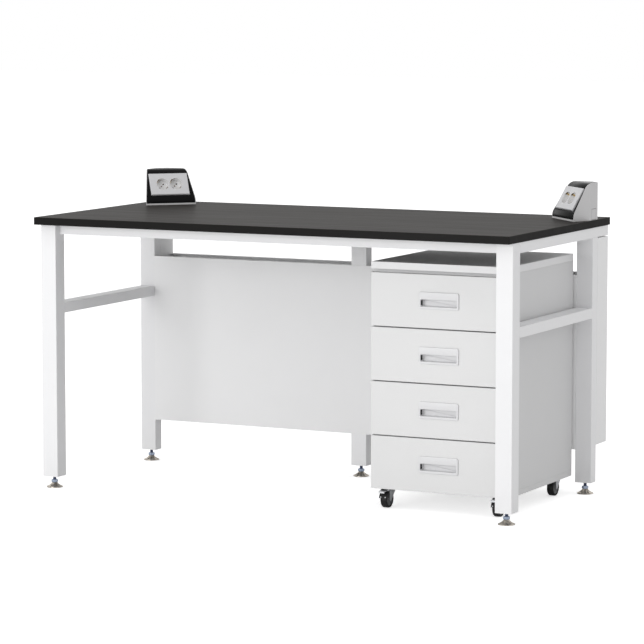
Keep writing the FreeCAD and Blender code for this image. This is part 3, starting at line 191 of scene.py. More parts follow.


def laminate_effect():
    """Pebble grain with paler specks, long faint wipe marks, and painted shade darkening the edges
    below the face.
    """
    tree, given, result = new_effect(
        "laminate_grain_and_edge_shade",
        (("Colour", COLOUR, (0.02, 0.02, 0.02, 1)), ("Speck Colour", COLOUR, (0.06, 0.06, 0.06, 1)),
         ("Edge Colour", COLOUR, (0.01, 0.01, 0.01, 1)), ("Face Height", NUMBER, 0.8),
         ("Speck", NUMBER, 0.35), ("Roughness", NUMBER, 0.5), ("Depth", NUMBER, 0.00004)),
        (("Colour", COLOUR), ("Roughness", NUMBER), ("Normal", DIRECTION)))
    place = put(tree, "ShaderNodeTexCoord").outputs["Object"]
    pebble = put(tree, "ShaderNodeTexVoronoi", {"Vector": place, "Scale": 900.0},
                 feature="SMOOTH_F1")
    speck = put(tree, "ShaderNodeTexNoise", {"Vector": place, "Scale": 420.0, "Detail": 3.0})
    drift = put(tree, "ShaderNodeTexNoise", {"Vector": place, "Scale": 2.5, "Detail": 3.0})
    long_way = put(tree, "ShaderNodeMapping", {"Vector": place, "Scale": (1.0, 14.0, 1.0)})
    wipe = put(tree, "ShaderNodeTexNoise",
               {"Vector": long_way.outputs[0], "Scale": 3.0, "Detail": 5.0})
    bright = put(tree, "ShaderNodeMapRange",
                 {"Value": speck.outputs["Fac"], "From Min": 0.50, "From Max": 0.72})
    amount = maths(tree, "MULTIPLY", bright.outputs[0], given["Speck"])
    cloud = maths(tree, "MULTIPLY", drift.outputs["Fac"], amount)
    mixed = put(tree, "ShaderNodeMix", {"Factor": cloud, "A": given["Colour"],
                                        "B": given["Speck Colour"]}, data_type="RGBA")
    height = put(tree, "ShaderNodeSeparateXYZ", {"Vector": place}).outputs["Z"]
    below = maths(tree, "SUBTRACT", given["Face Height"], height)
    # painted shade: below the face the colour turns to the darker edge colour
    edge_shade_mask = put(tree, "ShaderNodeMapRange",
               {"Value": below, "From Min": EDGE_SHADE_START, "From Max": EDGE_SHADE_FULL})
    edge_shaded = put(tree, "ShaderNodeMix", {"Factor": edge_shade_mask.outputs[0], "A": mixed.outputs["Result"],
                                        "B": given["Edge Colour"]}, data_type="RGBA")
    tree.links.new(edge_shaded.outputs["Result"], result["Colour"])
    smear = maths(tree, "MULTIPLY_ADD", wipe.outputs["Fac"], 0.16, given["Roughness"])
    tree.links.new(smear, result["Roughness"])
    bump = put(tree, "ShaderNodeBump",
               {"Height": pebble.outputs["Distance"], "Distance": given["Depth"]})
    tree.links.new(bump.outputs["Normal"], result["Normal"])
    return tree


black_laminate = material(
    "black_laminate", laminate_effect(),
    {"Colour": TOP_BLACK, "Speck Colour": TOP_SPECK, "Edge Colour": TOP_EDGE_SHADE,
     "Face Height": cad_low.z + TOP_HEIGHT, "Roughness": 0.46},
    Specular_IOR_Level=0.05, Coat_Weight=0.021, Coat_Roughness=0.15)
finish_nodes(("worktop",), black_laminate, edge=0.0006)

# ---------------------------------------------------------------------------
# Service chase: a modesty panel across the rear legs, a rear cover and two end
# posts, folded from 1.2 mm sheet and coated like the frame.  Screws hold them
# from inside the flanges.
# ---------------------------------------------------------------------------
PANEL_NODES = ("chase_front_panel", "chase_rear_cover", "chase_end_post_left",
               "chase_end_post_right")
PANEL_WHITE = (0.89, 0.89, 0.895)
ZINC = (0.60, 0.61, 0.63)

panel_powder = material(
    "panel_powder", coated_skin,
    {"Colour": PANEL_WHITE, "Dust": 0.10, "Dust Height": 0.3,
     "Roughness": 0.45, "Grain": 650.0, "Depth": 0.000025},
    Specular_IOR_Level=0.35)
finish_nodes(PANEL_NODES, panel_powder, edge=0.0005)


def plated_effect():
    """Metal plate with spangled tone, dull patches that also serve as painted dark reflections,
    fine scratches and a roughness that wanders.
    """
    tree, given, result = new_effect(
        "plated_metal",
        (("Colour", COLOUR, (0.6, 0.6, 0.6, 1)), ("Dull Colour", COLOUR, (0.3, 0.3, 0.3, 1)),
         ("Dull And Reflection Amount", NUMBER, 0.3), ("Roughness", NUMBER, 0.3), ("Scale", NUMBER, 180.0),
         ("Depth", NUMBER, 0.00001)),
        (("Colour", COLOUR), ("Roughness", NUMBER), ("Normal", DIRECTION)))
    place = put(tree, "ShaderNodeTexCoord").outputs["Object"]
    spangle = put(tree, "ShaderNodeTexNoise",
                  {"Vector": place, "Scale": given["Scale"], "Detail": 4.0}).outputs["Fac"]
    fine = put(tree, "ShaderNodeTexNoise", {"Vector": place, "Scale": 1500.0, "Detail": 2.0})
    dull_and_reflection = put(tree, "ShaderNodeMapRange", {"Value": spangle, "From Min": 0.42, "From Max": 0.7,
                                            "To Max": given["Dull And Reflection Amount"]})
    mixed = put(tree, "ShaderNodeMix", {"Factor": dull_and_reflection.outputs[0], "A": given["Colour"],
                                        "B": given["Dull Colour"]}, data_type="RGBA")
    tree.links.new(mixed.outputs["Result"], result["Colour"])
    rough = maths(tree, "MULTIPLY_ADD", spangle, 0.2, given["Roughness"])
    tree.links.new(rough, result["Roughness"])
    bump = put(tree, "ShaderNodeBump", {"Height": fine.outputs["Fac"], "Distance": given["Depth"]})
    tree.links.new(bump.outputs["Normal"], result["Normal"])
    return tree


plated_metal = plated_effect()
zinc_plate = material(
    "zinc_plate", plated_metal,
    {"Colour": ZINC, "Dull Colour": (0.36, 0.37, 0.38), "Roughness": 0.25},
    Metallic=1.0)
finish_nodes(("chase_screws", "worktop_screws", "leg_inserts"), zinc_plate)

# ---------------------------------------------------------------------------
# Levelling feet: a nickel-plated pressed steel cup with shallow flutes, and an M10
# stud with a hexagon forged on it to turn the foot, zinc plated blue.  The stud
# screws into the threaded block in the leg's end.
# ---------------------------------------------------------------------------
FEET = ("front_left", "front_right", "rear_left", "rear_middle", "rear_right")
NICKEL = (0.64, 0.59, 0.52)
BLUE_ZINC = (0.42, 0.49, 0.62)
DARK_ZINC = (0.10, 0.12, 0.20)
CUP_PROFILE = np.array([  # radius and height, in millimetres, from the hollow below to the top
    (0.0, 1.5), (12.0, 1.5), (20.6, 1.5), (21.2, 0.9), (21.6, 0.2), (22.2, 0.0), (23.2, 0.0),
    (23.8, 0.3), (24.0, 0.9), (24.0, 2.2), (23.6, 2.9), (22.6, 3.4), (21.0, 4.0), (19.0, 4.9),
    (17.0, 6.0), (15.0, 7.3), (13.0, 8.8), (11.0, 10.6), (9.6, 12.2), (8.6, 13.6), (8.0, 14.5),
    (7.2, 15.0), (4.0, 15.0)])
CUP_RIM = 2.5                        # the cup's rolled rim ends at this height
FLUTES = 8
FLUTE_DEPTH = 1.7
FLUTE_FROM, FLUTE_RISE = 9.0, 3.0    # radius where the flutes begin, and how soon they are deep
FLUTE_TO, FLUTE_FALL = 22.6, 2.0     # radius where they end, and how soon they run out
THREAD_PITCH = 1.5
THREAD_DEPTH = 0.75
STUD_RADIUS = 5.0
STUD_POINT = 1.2
HEX_ACROSS = 17.0
HEX_HIGH = 8.0
HEX_FACE_IN = 0.2                    # the round face lies this far inside the flats
HEX_CHAMFER = math.radians(30)
MM = 0.001


def lattice(name, points, look, body, ring=False):
    """Mesh of a grid of points: rows run along the shape and columns round it.

    A ring joins its last row to the first; any other shape gets a flat cap on each end row.
    """
    rows, columns = points.shape[:2]
    steps = rows if ring else rows - 1
    row, column = np.meshgrid(np.arange(steps), np.arange(columns), indexing="ij")
    beside = (column + 1) % columns
    above = (row + 1) % rows
    quads = np.stack([row * columns + column, row * columns + beside,
                      above * columns + beside, above * columns + column], axis=-1).reshape(-1, 4)
    faces = quads.tolist()
    if not ring:
        last = (rows - 1) * columns
        faces += [list(range(columns - 1, -1, -1)), list(range(last, last + columns))]
    mesh = bpy.data.meshes.new(name)
    mesh.from_pydata(points.reshape(-1, 3).tolist(), [], faces)
    smooth = np.ones(len(faces), bool)
    smooth[len(quads):] = False
    mesh.polygons.foreach_set("use_smooth", smooth)
    mesh.update()
    item = bpy.data.objects.new(name, mesh)
    bpy.context.scene.collection.objects.link(item)
    mesh.materials.append(look)
    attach(item, body)
    return item


def foot_surface(reach, turn, level, middle):
    """Points (R cos t, R sin t, h), in millimetres about the foot's axis, placed in the scene."""
    points = np.stack([reach * np.cos(turn), reach * np.sin(turn), level + 0 * reach], axis=-1)
    return points * MM + np.array([middle[0], middle[1], 0.0])


def cup_surface(middle):
    """Cup profile turned about Z; flutes lower its cone by (max(0, cos 8t)) squared."""
    turn = np.linspace(0, 2 * np.pi, 96, endpoint=False)
    radius, level = CUP_PROFILE.T
    begun = np.clip((radius - FLUTE_FROM) / FLUTE_RISE, 0, 1)
    left = np.clip((FLUTE_TO - radius) / FLUTE_FALL, 0, 1)
    on_cone = begun * left * (level > CUP_RIM)
    flute = FLUTE_DEPTH * on_cone[:, None] * np.clip(np.cos(FLUTES * turn), 0, 1)[None, :] ** 2
    return foot_surface(radius[:, None] + 0 * turn, turn, level[:, None] - flute, middle)


def stud_surface(middle, low, high):
    """Radius r - d + d w(z / p - t / 2 pi), w a triangle wave: single-start thread of pitch p."""
    turn = np.linspace(0, 2 * np.pi, 48, endpoint=False)
    shank = np.arange(low, high - STUD_POINT, THREAD_PITCH / 6)
    level = np.concatenate([shank, [high - STUD_POINT / 2, high]])
    phase = level[:, None] / THREAD_PITCH - turn[None, :] / (2 * np.pi)
    crest = 1 - 2 * np.abs(phase - np.floor(phase) - 0.5)
    point = np.clip((level - high + STUD_POINT) / STUD_POINT, 0, 1)[:, None]
    reach = STUD_RADIUS - THREAD_DEPTH + THREAD_DEPTH * (crest * (1 - point) - point)
    return foot_surface(reach, turn, level[:, None], middle)


def hexagon_surface(middle, across, low, high):
    """The lesser of a hexagon's polar radius and a 30 degree cone, turned about Z."""
    turn = np.linspace(0, 2 * np.pi, 96, endpoint=False)
    hexagon = (across / 2) / np.cos((turn + np.pi / 6) % (np.pi / 3) - np.pi / 6)
    outer = across / math.sqrt(3)
    face = across / 2 - HEX_FACE_IN
    slope = (outer - face) * math.tan(HEX_CHAMFER)
    steps = np.linspace(0, 1, 5)
    limit = np.concatenate([face + (outer - face) * steps, outer - (outer - face) * steps])
    level = np.concatenate([low + slope * steps, high - slope * (1 - steps)])
    reach = np.minimum(hexagon[None, :], limit[:, None])
    return foot_surface(reach, turn, level[:, None], middle)


# painted reflection: near-black patches over most of the nickel cup stand in for dark reflections
nickel_plate = material(
    "nickel_plate", plated_metal,
    {"Colour": NICKEL, "Dull Colour": (0.10, 0.085, 0.07), "Dull And Reflection Amount": 0.75, "Roughness": 0.2,
     "Scale": 120.0},
    Metallic=1.0)
blue_zinc = material(
    "blue_zinc", plated_metal,
    {"Colour": BLUE_ZINC, "Dull Colour": (0.26, 0.29, 0.36), "Roughness": 0.2},
    Metallic=1.0)
dark_zinc = material(
    "dark_zinc", plated_metal,
    {"Colour": DARK_ZINC, "Dull Colour": (0.04, 0.05, 0.09), "Roughness": 0.3},
    Metallic=1.0)

for name in FEET:
    node = f"levelling_foot_{name}"
    low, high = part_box(node)
    middle = ((low.x + high.x) / 2, (low.y + high.y) / 2)
    cup_top = CUP_PROFILE[-1, 1]
    body = f"foot_{name}"
    cup = lattice(f"foot_cup_{name}", cup_surface(middle), nickel_plate, body)
    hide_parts(node)
    stud = stud_surface(middle, cup_top + HEX_HIGH - 1.0, high.z / MM)
    lattice(f"foot_stud_{name}", stud, dark_zinc, body)
    hexagon = hexagon_surface(middle, HEX_ACROSS, cup_top, cup_top + HEX_HIGH)
    lattice(f"foot_hexagon_{name}", hexagon, blue_zinc, body)

# ---------------------------------------------------------------------------
# Corner socket boxes: a white moulded housing, screwed down from below, a black
# semi-gloss cover bent over its front and top, and a silver plate with two round
# white sockets.  Places are in millimetres from the middle of each piece.
# ---------------------------------------------------------------------------
housing_plastic = material(
    "housing_plastic", coated_skin,
    {"Colour": (0.61, 0.605, 0.61), "Roughness": 0.4,
     "Grain": 900.0, "Depth": 0.00003},
    Specular_IOR_Level=0.15)
cover_plastic = material(
    "cover_plastic", coated_skin,
    {"Colour": (0.007, 0.007, 0.0075), "Roughness": 0.25,
     "Grain": 1200.0, "Depth": 0.00001},
    Specular_IOR_Level=0.05)
plate_plastic = material(
    "plate_plastic", coated_skin,
    {"Colour": (0.65, 0.65, 0.665), "Roughness": 0.32,
     "Grain": 1500.0, "Depth": 0.00001},
    Metallic=0.25)
well_plastic = material(
    "well_plastic", coated_skin,
    {"Colour": (0.82, 0.82, 0.825), "Roughness": 0.3,
     "Grain": 1500.0, "Depth": 0.00001},
    Specular_IOR_Level=0.5)
contact_brass = material(
    "contact_brass", plated_metal,
    {"Colour": (0.72, 0.53, 0.24), "Dull Colour": (0.4, 0.28, 0.12), "Roughness": 0.22},
    Metallic=1.0)
finish_nodes(("socket_housing_left", "socket_housing_right"), housing_plastic, edge=0.0007)
finish_nodes(("socket_cover_left", "socket_cover_right"), cover_plastic, edge=0.0005)
finish_nodes(("socket_plate_left", "socket_plate_right"), plate_plastic)
finish_nodes(("socket_wells",), well_plastic)
finish_nodes(("socket_contacts",), contact_brass)
# painted highlight: near-white plastic for the plate's border and the wells' lips, lighter than
# plate and wells
painted_highlight_plastic = material(
    "painted_highlight_plastic", coated_skin,
    {"Colour": (0.95, 0.95, 0.955), "Roughness": 0.28,
     "Grain": 1500.0, "Depth": 0.00001},
    Specular_IOR_Level=0.6)
score_shade = material(
    "score_shade", coated_skin,
    {"Colour": (0.22, 0.22, 0.22), "Roughness": 0.6,
     "Grain": 1500.0, "Depth": 0.00001},
    Specular_IOR_Level=0.1)
# painted shade: dark brown for the shaded slots behind the earth clips
slot_shade_brown = material(
    "slot_shade_brown", plated_metal,
    {"Colour": (0.10, 0.065, 0.035), "Dull Colour": (0.03, 0.02, 0.012), "Roughness": 0.4},
    Metallic=0.2)
screw_steel = material(
    "screw_steel", plated_metal,
    {"Colour": (0.20, 0.17, 0.15), "Dull Colour": (0.08, 0.06, 0.05), "Roughness": 0.3},
    Metallic=0.8)
SOCKET_TILT = math.radians(29)
SOCKET_PITCH = 42.0
WELL_RADIUS = 19.0
WELL_LIP = 21.4
WELL_DEPTH = 17.5
PLATE_FACE = 4.5                     # from the middle of the plate's thickness to its front
PLATE_WIDE, PLATE_HIGH = 121.0, 72.0
KNOCK_WIDE, KNOCK_HIGH = 36.0, 32.0
KNOCK_MIDDLE = (0.2494, 0.817)       # Y and Z in the scene, in metres
KNOCK_CORNER = 0.05
SCORE_SECTION = ((-0.1, -0.7), (-0.1, -0.25), (-1.1, -0.25), (-1.1, -0.7))
BAND_SECTION = ((0.1, 2.0), (0.1, 2.7), (-1.9, 4.65), (-4.3, 4.65), (-4.6, 4.4), (-1.9, 4.0))
BAND_CORNER = 0.6
LIP_RISE = 0.7
NOTCH_REACH = 18.6
NOTCH_HALF, NOTCH_RADIUS = 3.0, 2.0
NOTCH_LOW, NOTCH_HIGH = -2.0, 0.8
SCREW_RADIUS, SCREW_SIDE, SCREW_HIGH = 2.6, 0.7, 1.5


def hull_outline(circles, swell=0.0, count=96):
    """Convex hull of circles: in each direction u, the farthest of the points c + (r + swell) u."""
    turn = np.linspace(0, 2 * np.pi, count, endpoint=False)
    toward = np.stack([np.cos(turn), np.sin(turn)], axis=-1)
    circles = np.array(circles, float)
    pick = (toward @ circles[:, :2].T + circles[:, 2]).argmax(axis=1)
    return circles[pick, :2] + (circles[pick, 2] + swell)[:, None] * toward


def lofted(outlines, levels, origin, first, second):
    """Outlines stacked along the third axis; first and second are the axes of their plane."""
    first, second = np.array(first, float), np.array(second, float)
    third = np.cross(first, second)
    rings = np.stack(outlines)
    stack = np.array(levels, float)[:, None, None]
    across, along = rings[..., :1] * first, rings[..., 1:] * second
    return np.array(origin) + MM * (across + along + stack * third)


def rounded_box(wide, high, corner, middle=(0.0, 0.0)):
    """Four circles whose hull is a rectangle with round corners."""
    u, v = wide / 2 - corner, high / 2 - corner
    corners = ((u, v), (-u, v), (-u, -v), (u, -v))
    return [(middle[0] + a, middle[1] + b, corner) for a, b in corners]


def slab_surface(circles, low, high, ease, origin, first, second):
    """Hull of circles between two levels, its edges eased by quarter rounds."""
    bend = np.linspace(0, np.pi / 2, 4)
    drawn_in = ease * (np.sin(bend) - 1)
    step = ease * (1 - np.cos(bend))
    swells = np.concatenate([drawn_in, drawn_in[::-1]])
    levels = np.concatenate([low + step, (high - step)[::-1]])
    return lofted([hull_outline(circles, swell) for swell in swells], levels, origin, first, second)


def turned_surface(profile, origin, axis, count=72):
    """Points o + a h + r (p cos t + q sin t) for each (r, h) of a profile, p and q square to a."""
    axis = np.array(axis, float) / np.linalg.norm(axis)
    start = np.array((0.0, 0.0, 1.0)) if abs(axis[2]) < 0.9 else np.array((1.0, 0.0, 0.0))
    first = np.cross(start, axis)
    first /= np.linalg.norm(first)
    second = np.cross(axis, first)
    turn = np.linspace(0, 2 * np.pi, count, endpoint=False)[None, :, None]
    radius, height = np.array(profile, float).T[:, :, None, None]
    spoke = first * np.cos(turn) + second * np.sin(turn)
    return np.array(origin) + MM * (axis * height + radius * spoke)


def border(section, wide, high, corner, middle, along, upward):
    """Section of (distance outside the outline, level) pairs carried round a rectangle."""
    outlines = [hull_outline(rounded_box(wide + 2 * out, high + 2 * out, corner))
                for out, _ in section]
    return lofted(outlines, [level for _, level in section], middle, along, upward)


def plate_highlight_band(middle, along, upward):
    """Raised border of the plate, there to carry a painted highlight: a low bevelled section
    carried round a sharp rectangle.
    """
    return border(BAND_SECTION, PLATE_WIDE, PLATE_HIGH, BAND_CORNER, middle, along, upward)


def score_shade_ring(middle, along):
    """Dark square section carried round the knock-out, just under the face it is scored in: painted
    shade in the score.
    """
    return border(SCORE_SECTION, KNOCK_WIDE, KNOCK_HIGH, KNOCK_CORNER, middle, along, (0, 0, 1))


def socket_lip(origin, axis):
    """Half-round moulding over the joint of well and plate: an ellipse turned about the axis."""
    sweep = np.linspace(0, 2 * np.pi, 16, endpoint=False)
    half = (WELL_LIP - WELL_RADIUS) / 2
    radius = WELL_RADIUS + half + half * np.cos(sweep)
    profile = np.stack([radius, LIP_RISE * np.sin(sweep)], axis=-1)
    return turned_surface(profile, origin, axis)


def socket_notch_shade(mouth, along, upward, sign):
    """Painted shade of the rim's slot where an earth clip sits: a dark pill set square to the slant
    the clips lie on.
    """
    slant = np.array((-1.0, 1.0)) / math.sqrt(2) * sign
    tangent = np.array((slant[1], -slant[0]))
    ends = [(*(NOTCH_REACH * slant + step * tangent), NOTCH_RADIUS)
            for step in (-NOTCH_HALF, NOTCH_HALF)]
    return slab_surface(ends, NOTCH_LOW, NOTCH_HIGH, 0.3, mouth, along, upward)


def socket_screw(origin, axis):
    """Small pan head: a flat, a quarter round and a short side."""
    bend = np.linspace(0, np.pi / 2, 6)
    rounding = SCREW_HIGH - SCREW_SIDE
    dome = np.stack([SCREW_RADIUS - rounding + rounding * np.cos(bend),
                     SCREW_SIDE + rounding * np.sin(bend)], axis=-1)
    profile = np.concatenate([[(SCREW_RADIUS, 0.0)], dome, [(0.4, SCREW_HIGH)]])
    return turned_surface(profile, origin, axis, 24)


for side, sign in (("left", -1), ("right", 1)):
    low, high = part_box(f"socket_plate_{side}")
    middle = (np.array(low) + np.array(high)) / 2
    level = math.cos(SOCKET_TILT) / math.sqrt(2)
    outward = np.array([-sign * level, -level, math.sin(SOCKET_TILT)])
    along = np.array([1.0, -sign, 0.0]) / math.sqrt(2)
    upward = np.cross(outward, along)
    # painted highlight: the plate's border
    lattice(f"plate_highlight_band_{side}", plate_highlight_band(middle, along, upward), painted_highlight_plastic,
            "bench_frame", ring=True)
    box_low, box_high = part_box(f"socket_housing_{side}")
    chamfer = (box_high if sign > 0 else box_low).x
    # painted shade: a dark ring in the knock-out's score
    lattice(f"knock_score_shade_{side}", score_shade_ring((chamfer, *KNOCK_MIDDLE), (0, sign, 0)), score_shade,
            "bench_frame", ring=True)
    for place, step in (("left", -1), ("right", 1)):
        mouth = middle + MM * (PLATE_FACE * outward + step * SOCKET_PITCH / 2 * along)
        bottom = mouth - MM * WELL_DEPTH * outward
        # painted highlight: the well's lip
        lattice(f"socket_lip_{side}_{place}", socket_lip(mouth, outward), painted_highlight_plastic,
                "bench_frame", ring=True)
        for turn, hand in ((1, "upper"), (-1, "lower")):
            # painted shade: the clip slots in the rim
            notch_shade = socket_notch_shade(mouth, along, upward, turn)
            lattice(f"socket_notch_{side}_{place}_{hand}", notch_shade, slot_shade_brown,
                    "bench_frame")
        lattice(f"socket_screw_{side}_{place}", socket_screw(bottom, outward), screw_steel,
                "bench_frame")

# ---------------------------------------------------------------------------
# Mobile pedestal: a shell, a tray below, a cap and four drawers, folded and
# spot-welded from steel sheet and coated white, on zinc-plated runners.  The shell,
# the tray below and the drawer fronts are coloured grey as painted shade, and the cap
# lighter as a painted highlight.
# ---------------------------------------------------------------------------
# painted shade: the shell and the tray below in grey, darker than the white coat
pedestal_shade_powder = material(
    "pedestal_shade_powder", coated_skin,
    {"Colour": (0.69, 0.69, 0.695), "Dust": 0.1, "Dust Height": 0.2,
     "Roughness": 0.45, "Grain": 650.0, "Depth": 0.00003},
    Specular_IOR_Level=0.35)
# painted shade: the drawer fronts in light grey
front_shade_powder = material(
    "front_shade_powder", coated_skin,
    {"Colour": (0.76, 0.76, 0.76), "Dust": 0.05, "Dust Height": 0.2,
     "Roughness": 0.42, "Grain": 650.0, "Depth": 0.00003},
    Specular_IOR_Level=0.4)
tray_powder = material(
    "tray_powder", coated_skin,
    {"Colour": (0.66, 0.66, 0.67), "Dust": 0.1, "Dust Height": 0.2,
     "Roughness": 0.45, "Grain": 650.0, "Depth": 0.00003},
    Specular_IOR_Level=0.35)
# painted highlight: the cap lighter than the shell
cap_highlight_powder = material(
    "cap_highlight_powder", coated_skin,
    {"Colour": (0.82, 0.82, 0.825), "Roughness": 0.42,
     "Grain": 650.0, "Depth": 0.00003},
    Specular_IOR_Level=0.35)
finish_nodes(("pedestal_shell", "pedestal_base"), pedestal_shade_powder, edge=0.0006)
finish_nodes(("pedestal_top",), cap_highlight_powder, edge=0.0006)
finish_nodes(("drawer_runners", "caster_mounts"), zinc_plate)
DRAWER_NUMBERS = range(1, 5)
for number in DRAWER_NUMBERS:
    finish_nodes((f"drawer_box_{number}",), tray_powder)
    finish_nodes((f"drawer_front_{number}",), front_shade_powder)

# ---------------------------------------------------------------------------
# Drawer pulls: one moulding each, a plate with rounded corners that stands proud
# of the drawer front and a finger cup behind its long slot.  A black piece at the
# left end of the cup paints the shade there.
# ---------------------------------------------------------------------------
PULL_ROUND = 6.0
PULL_EDGE = 1.5
PULL_THICK = 4.0
SLOT_WIDE, SLOT_HIGH, SLOT_DROP = 111.0, 20.0, 7.0
SLOT_ROUND = 2.5
SLOT_EDGE = 1.0
CUP_DEPTH = 15.0
CUP_WALL = 1.5
CUP_ROUND = 3.0
END_SHADE_LONG, END_SHADE_BACK = 11.0, 5.0   # the painted shade piece's length, and how far back its middle is
END_SHADE_MARGIN = 6.0


def pull_surface(middle, front, half_wide, half_high):
    """Rings over the cup's outside, the plate's back, side and face, then down the slot."""
    bend = np.linspace(0, np.pi / 2, 6)
    plate = rounded_box(2 * half_wide, 2 * half_high, PULL_ROUND)
    slot = rounded_box(SLOT_WIDE, SLOT_HIGH, SLOT_ROUND, (0.0, -SLOT_DROP))
    outlines = [hull_outline(slot, CUP_WALL), hull_outline(slot, CUP_WALL), hull_outline(plate)]
    levels = [-CUP_DEPTH - CUP_WALL, 0.0, 0.0]
    outlines += [hull_outline(plate, PULL_EDGE * (math.cos(t) - 1)) for t in bend]
    levels += [PULL_THICK - PULL_EDGE * (1 - math.sin(t)) for t in bend]
    outlines += [hull_outline(slot, SLOT_EDGE * (1 - math.sin(t))) for t in bend]
    levels += [PULL_THICK - SLOT_EDGE * (1 - math.cos(t)) for t in bend]
    outlines += [hull_outline(slot, CUP_ROUND * (math.cos(t) - 1)) for t in bend[:-1]]
    levels += [-CUP_DEPTH + CUP_ROUND * (1 - math.sin(t)) for t in bend[:-1]]
    outlines.append(hull_outline(slot, -CUP_ROUND))
    levels.append(-CUP_DEPTH)
    return lofted(outlines, levels, (middle[0], front, middle[1]), (1, 0, 0), (0, 0, 1))


pull_plastic = material(
    "pull_plastic", coated_skin,
    {"Colour": (0.74, 0.74, 0.75), "Roughness": 0.35,
     "Grain": 1100.0, "Depth": 0.00002},
    Specular_IOR_Level=0.45)
black_nylon = material(
    "black_nylon", coated_skin,
    {"Colour": (0.014, 0.014, 0.015), "Dust": 0.04, "Dust Height": 0.05,
     "Roughness": 0.38, "Grain": 1100.0, "Depth": 0.00002},
    Specular_IOR_Level=0.15)
for number in DRAWER_NUMBERS:
    low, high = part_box(f"drawer_pull_{number}")
    middle = ((low.x + high.x) / 2, (low.z + high.z) / 2)
    front = low.y + PULL_THICK * MM
    half_wide, half_high = (high.x - low.x) / 2 / MM, (high.z - low.z) / 2 / MM
    pull = lattice(f"pull_{number}", pull_surface(middle, front, half_wide, half_high),
                   pull_plastic, f"drawer_{number}")
    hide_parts(f"drawer_pull_{number}")
    # painted shade: a black piece at the left end of the cup
    place = (middle[0] - SLOT_WIDE / 2 * MM, front + END_SHADE_BACK * MM, middle[1] - SLOT_DROP * MM)
    end_shade = slab_surface(rounded_box(END_SHADE_LONG, SLOT_HIGH - END_SHADE_MARGIN, 1.0), -0.3, 0.5, 0.2,
                         place, (0, 1, 0), (0, 0, 1))
    lattice(f"pull_end_shade_{number}", end_shade, black_nylon, f"drawer_{number}")

# ---------------------------------------------------------------------------
# Casters: a pressed zinc fork on each plate, a black nylon wheel with a dark hub,
# and on the front pair a black brake hood with two rivets under a zinc pedal.
# Places are in millimetres from the wheel's middle: X across, Y back, Z up.
# ---------------------------------------------------------------------------
WHEEL_RADIUS = 25.0
WHEEL_HALF = 10.0
SHOULDER = 3.0
RIM = np.array([(17.8, -2.0), (18.6, -0.6), (19.4, 0.0)])   # radius, and place from the side
HUB_PROFILE = np.array([  # radius and half width, from the bore to the rim
    (3.2, 9.6), (6.6, 9.6), (7.2, 9.2), (8.5, 8.2), (10.5, 7.8), (13.5, 7.6), (16.2, 7.8),
    (17.2, 8.3), (18.0, 8.6)])
LOBES, LOBE_DEPTH, LOBE_EASE = 6, 1.2, 1.5
LOBE_FROM, LOBE_TO = 7.2, 17.2
CHEEK_IN, CHEEK_OUT = 10.4, 12.4
CROWN_LOW, CROWN_HIGH = 26.2, 28.7
FORK_NOSE, FORK_HEEL = -6.0, 35.0
AXLE_BOSS = 5.0
HOOD_IN, HOOD_OUT = 26.2, 28.2
HOOD_LOW, HOOD_HIGH = math.radians(9.0), math.radians(79.0)
RIB_RISE, RIB_SUNK = 0.7, 0.3
AXLE_HEAD = 3.6
RIVET_LIFT = math.radians(16.0)
RIVET_OUT, RIVET_RADIUS, RIVET_DOME = 7.0, 1.9, 0.9
PEDAL_PIN = (-16.0, 26.4)
PEDAL_EAR = 2.2
LEVER_HALF = 0.75
LEVER_SLOPE = 0.065
LIP_FRONT, LIP_BACK = 22.0, 20.4     # faces of the pedal's turned-down lip, ahead of the pin
PIN_RADIUS, PIN_CHAMFER = 1.5, 0.4
CAP_LOW, CAP_HIGH = 0.5, 2.2         # the pedal's cap, above the pin
ACROSS, BACK, UP = (1, 0, 0), (0, 1, 0), (0, 0, 1)


def tyre_surface(middle):
    """Side walls and a tread joined by quarter rounds, turned about the axle."""
    bend = np.linspace(0, np.pi / 2, 6)
    shoulder = np.stack([WHEEL_RADIUS - SHOULDER + SHOULDER * np.sin(bend),
                         WHEEL_HALF - SHOULDER + SHOULDER * np.cos(bend)], axis=-1)
    right = np.concatenate([RIM + (0.0, WHEEL_HALF), shoulder])
    left = right[::-1] * (1, -1)
    return turned_surface(np.concatenate([right, left])[::-1], middle, ACROSS)


def hub_surface(middle):
    """Disc whose face sinks by a six-lobed wave between the boss and the rim."""
    profile = np.concatenate([HUB_PROFILE * (1, -1), HUB_PROFILE[::-1]])
    points = turned_surface(profile, middle, ACROSS, 96)
    turn = np.linspace(0, 2 * np.pi, 96, endpoint=False)
    inside = np.clip((profile[:, 0] - LOBE_FROM) / LOBE_EASE, 0, 1)
    outside = np.clip((LOBE_TO - profile[:, 0]) / LOBE_EASE, 0, 1)
    sink = LOBE_DEPTH * (inside * outside)[:, None] * np.clip(np.cos(LOBES * turn), 0, 1)[None, :]
    points[..., 0] -= MM * sink * np.sign(profile[:, 1])[:, None]
    return points


def hood_surface(middle):
    """Rounded bar section, as wide as the fork, swept about the axle from the crown to the nose."""
    place = (0.0, (HOOD_IN + HOOD_OUT) / 2)
    section = hull_outline(rounded_box(2 * CHEEK_OUT, HOOD_OUT - HOOD_IN, 0.8, place))
    angle = np.linspace(HOOD_HIGH, HOOD_LOW, 28)[:, None]
    across, reach = section[:, 0][None, :], section[:, 1][None, :]
    points = np.stack([across + 0 * angle, -reach * np.cos(angle), reach * np.sin(angle)], axis=-1)
    return np.array(middle) + MM * points


def rivet_surface(origin, axis, radius):
    """Domed head on a short side."""
    bend = np.linspace(0, np.pi / 2, 6)[:-1]
    dome = np.stack([radius * np.cos(bend), 0.4 + RIVET_DOME * np.sin(bend)], axis=-1)
    profile = np.concatenate([[(radius, -0.2)], dome, [(0.1, 0.4 + RIVET_DOME)]])
    return turned_surface(profile, origin, axis, 32)


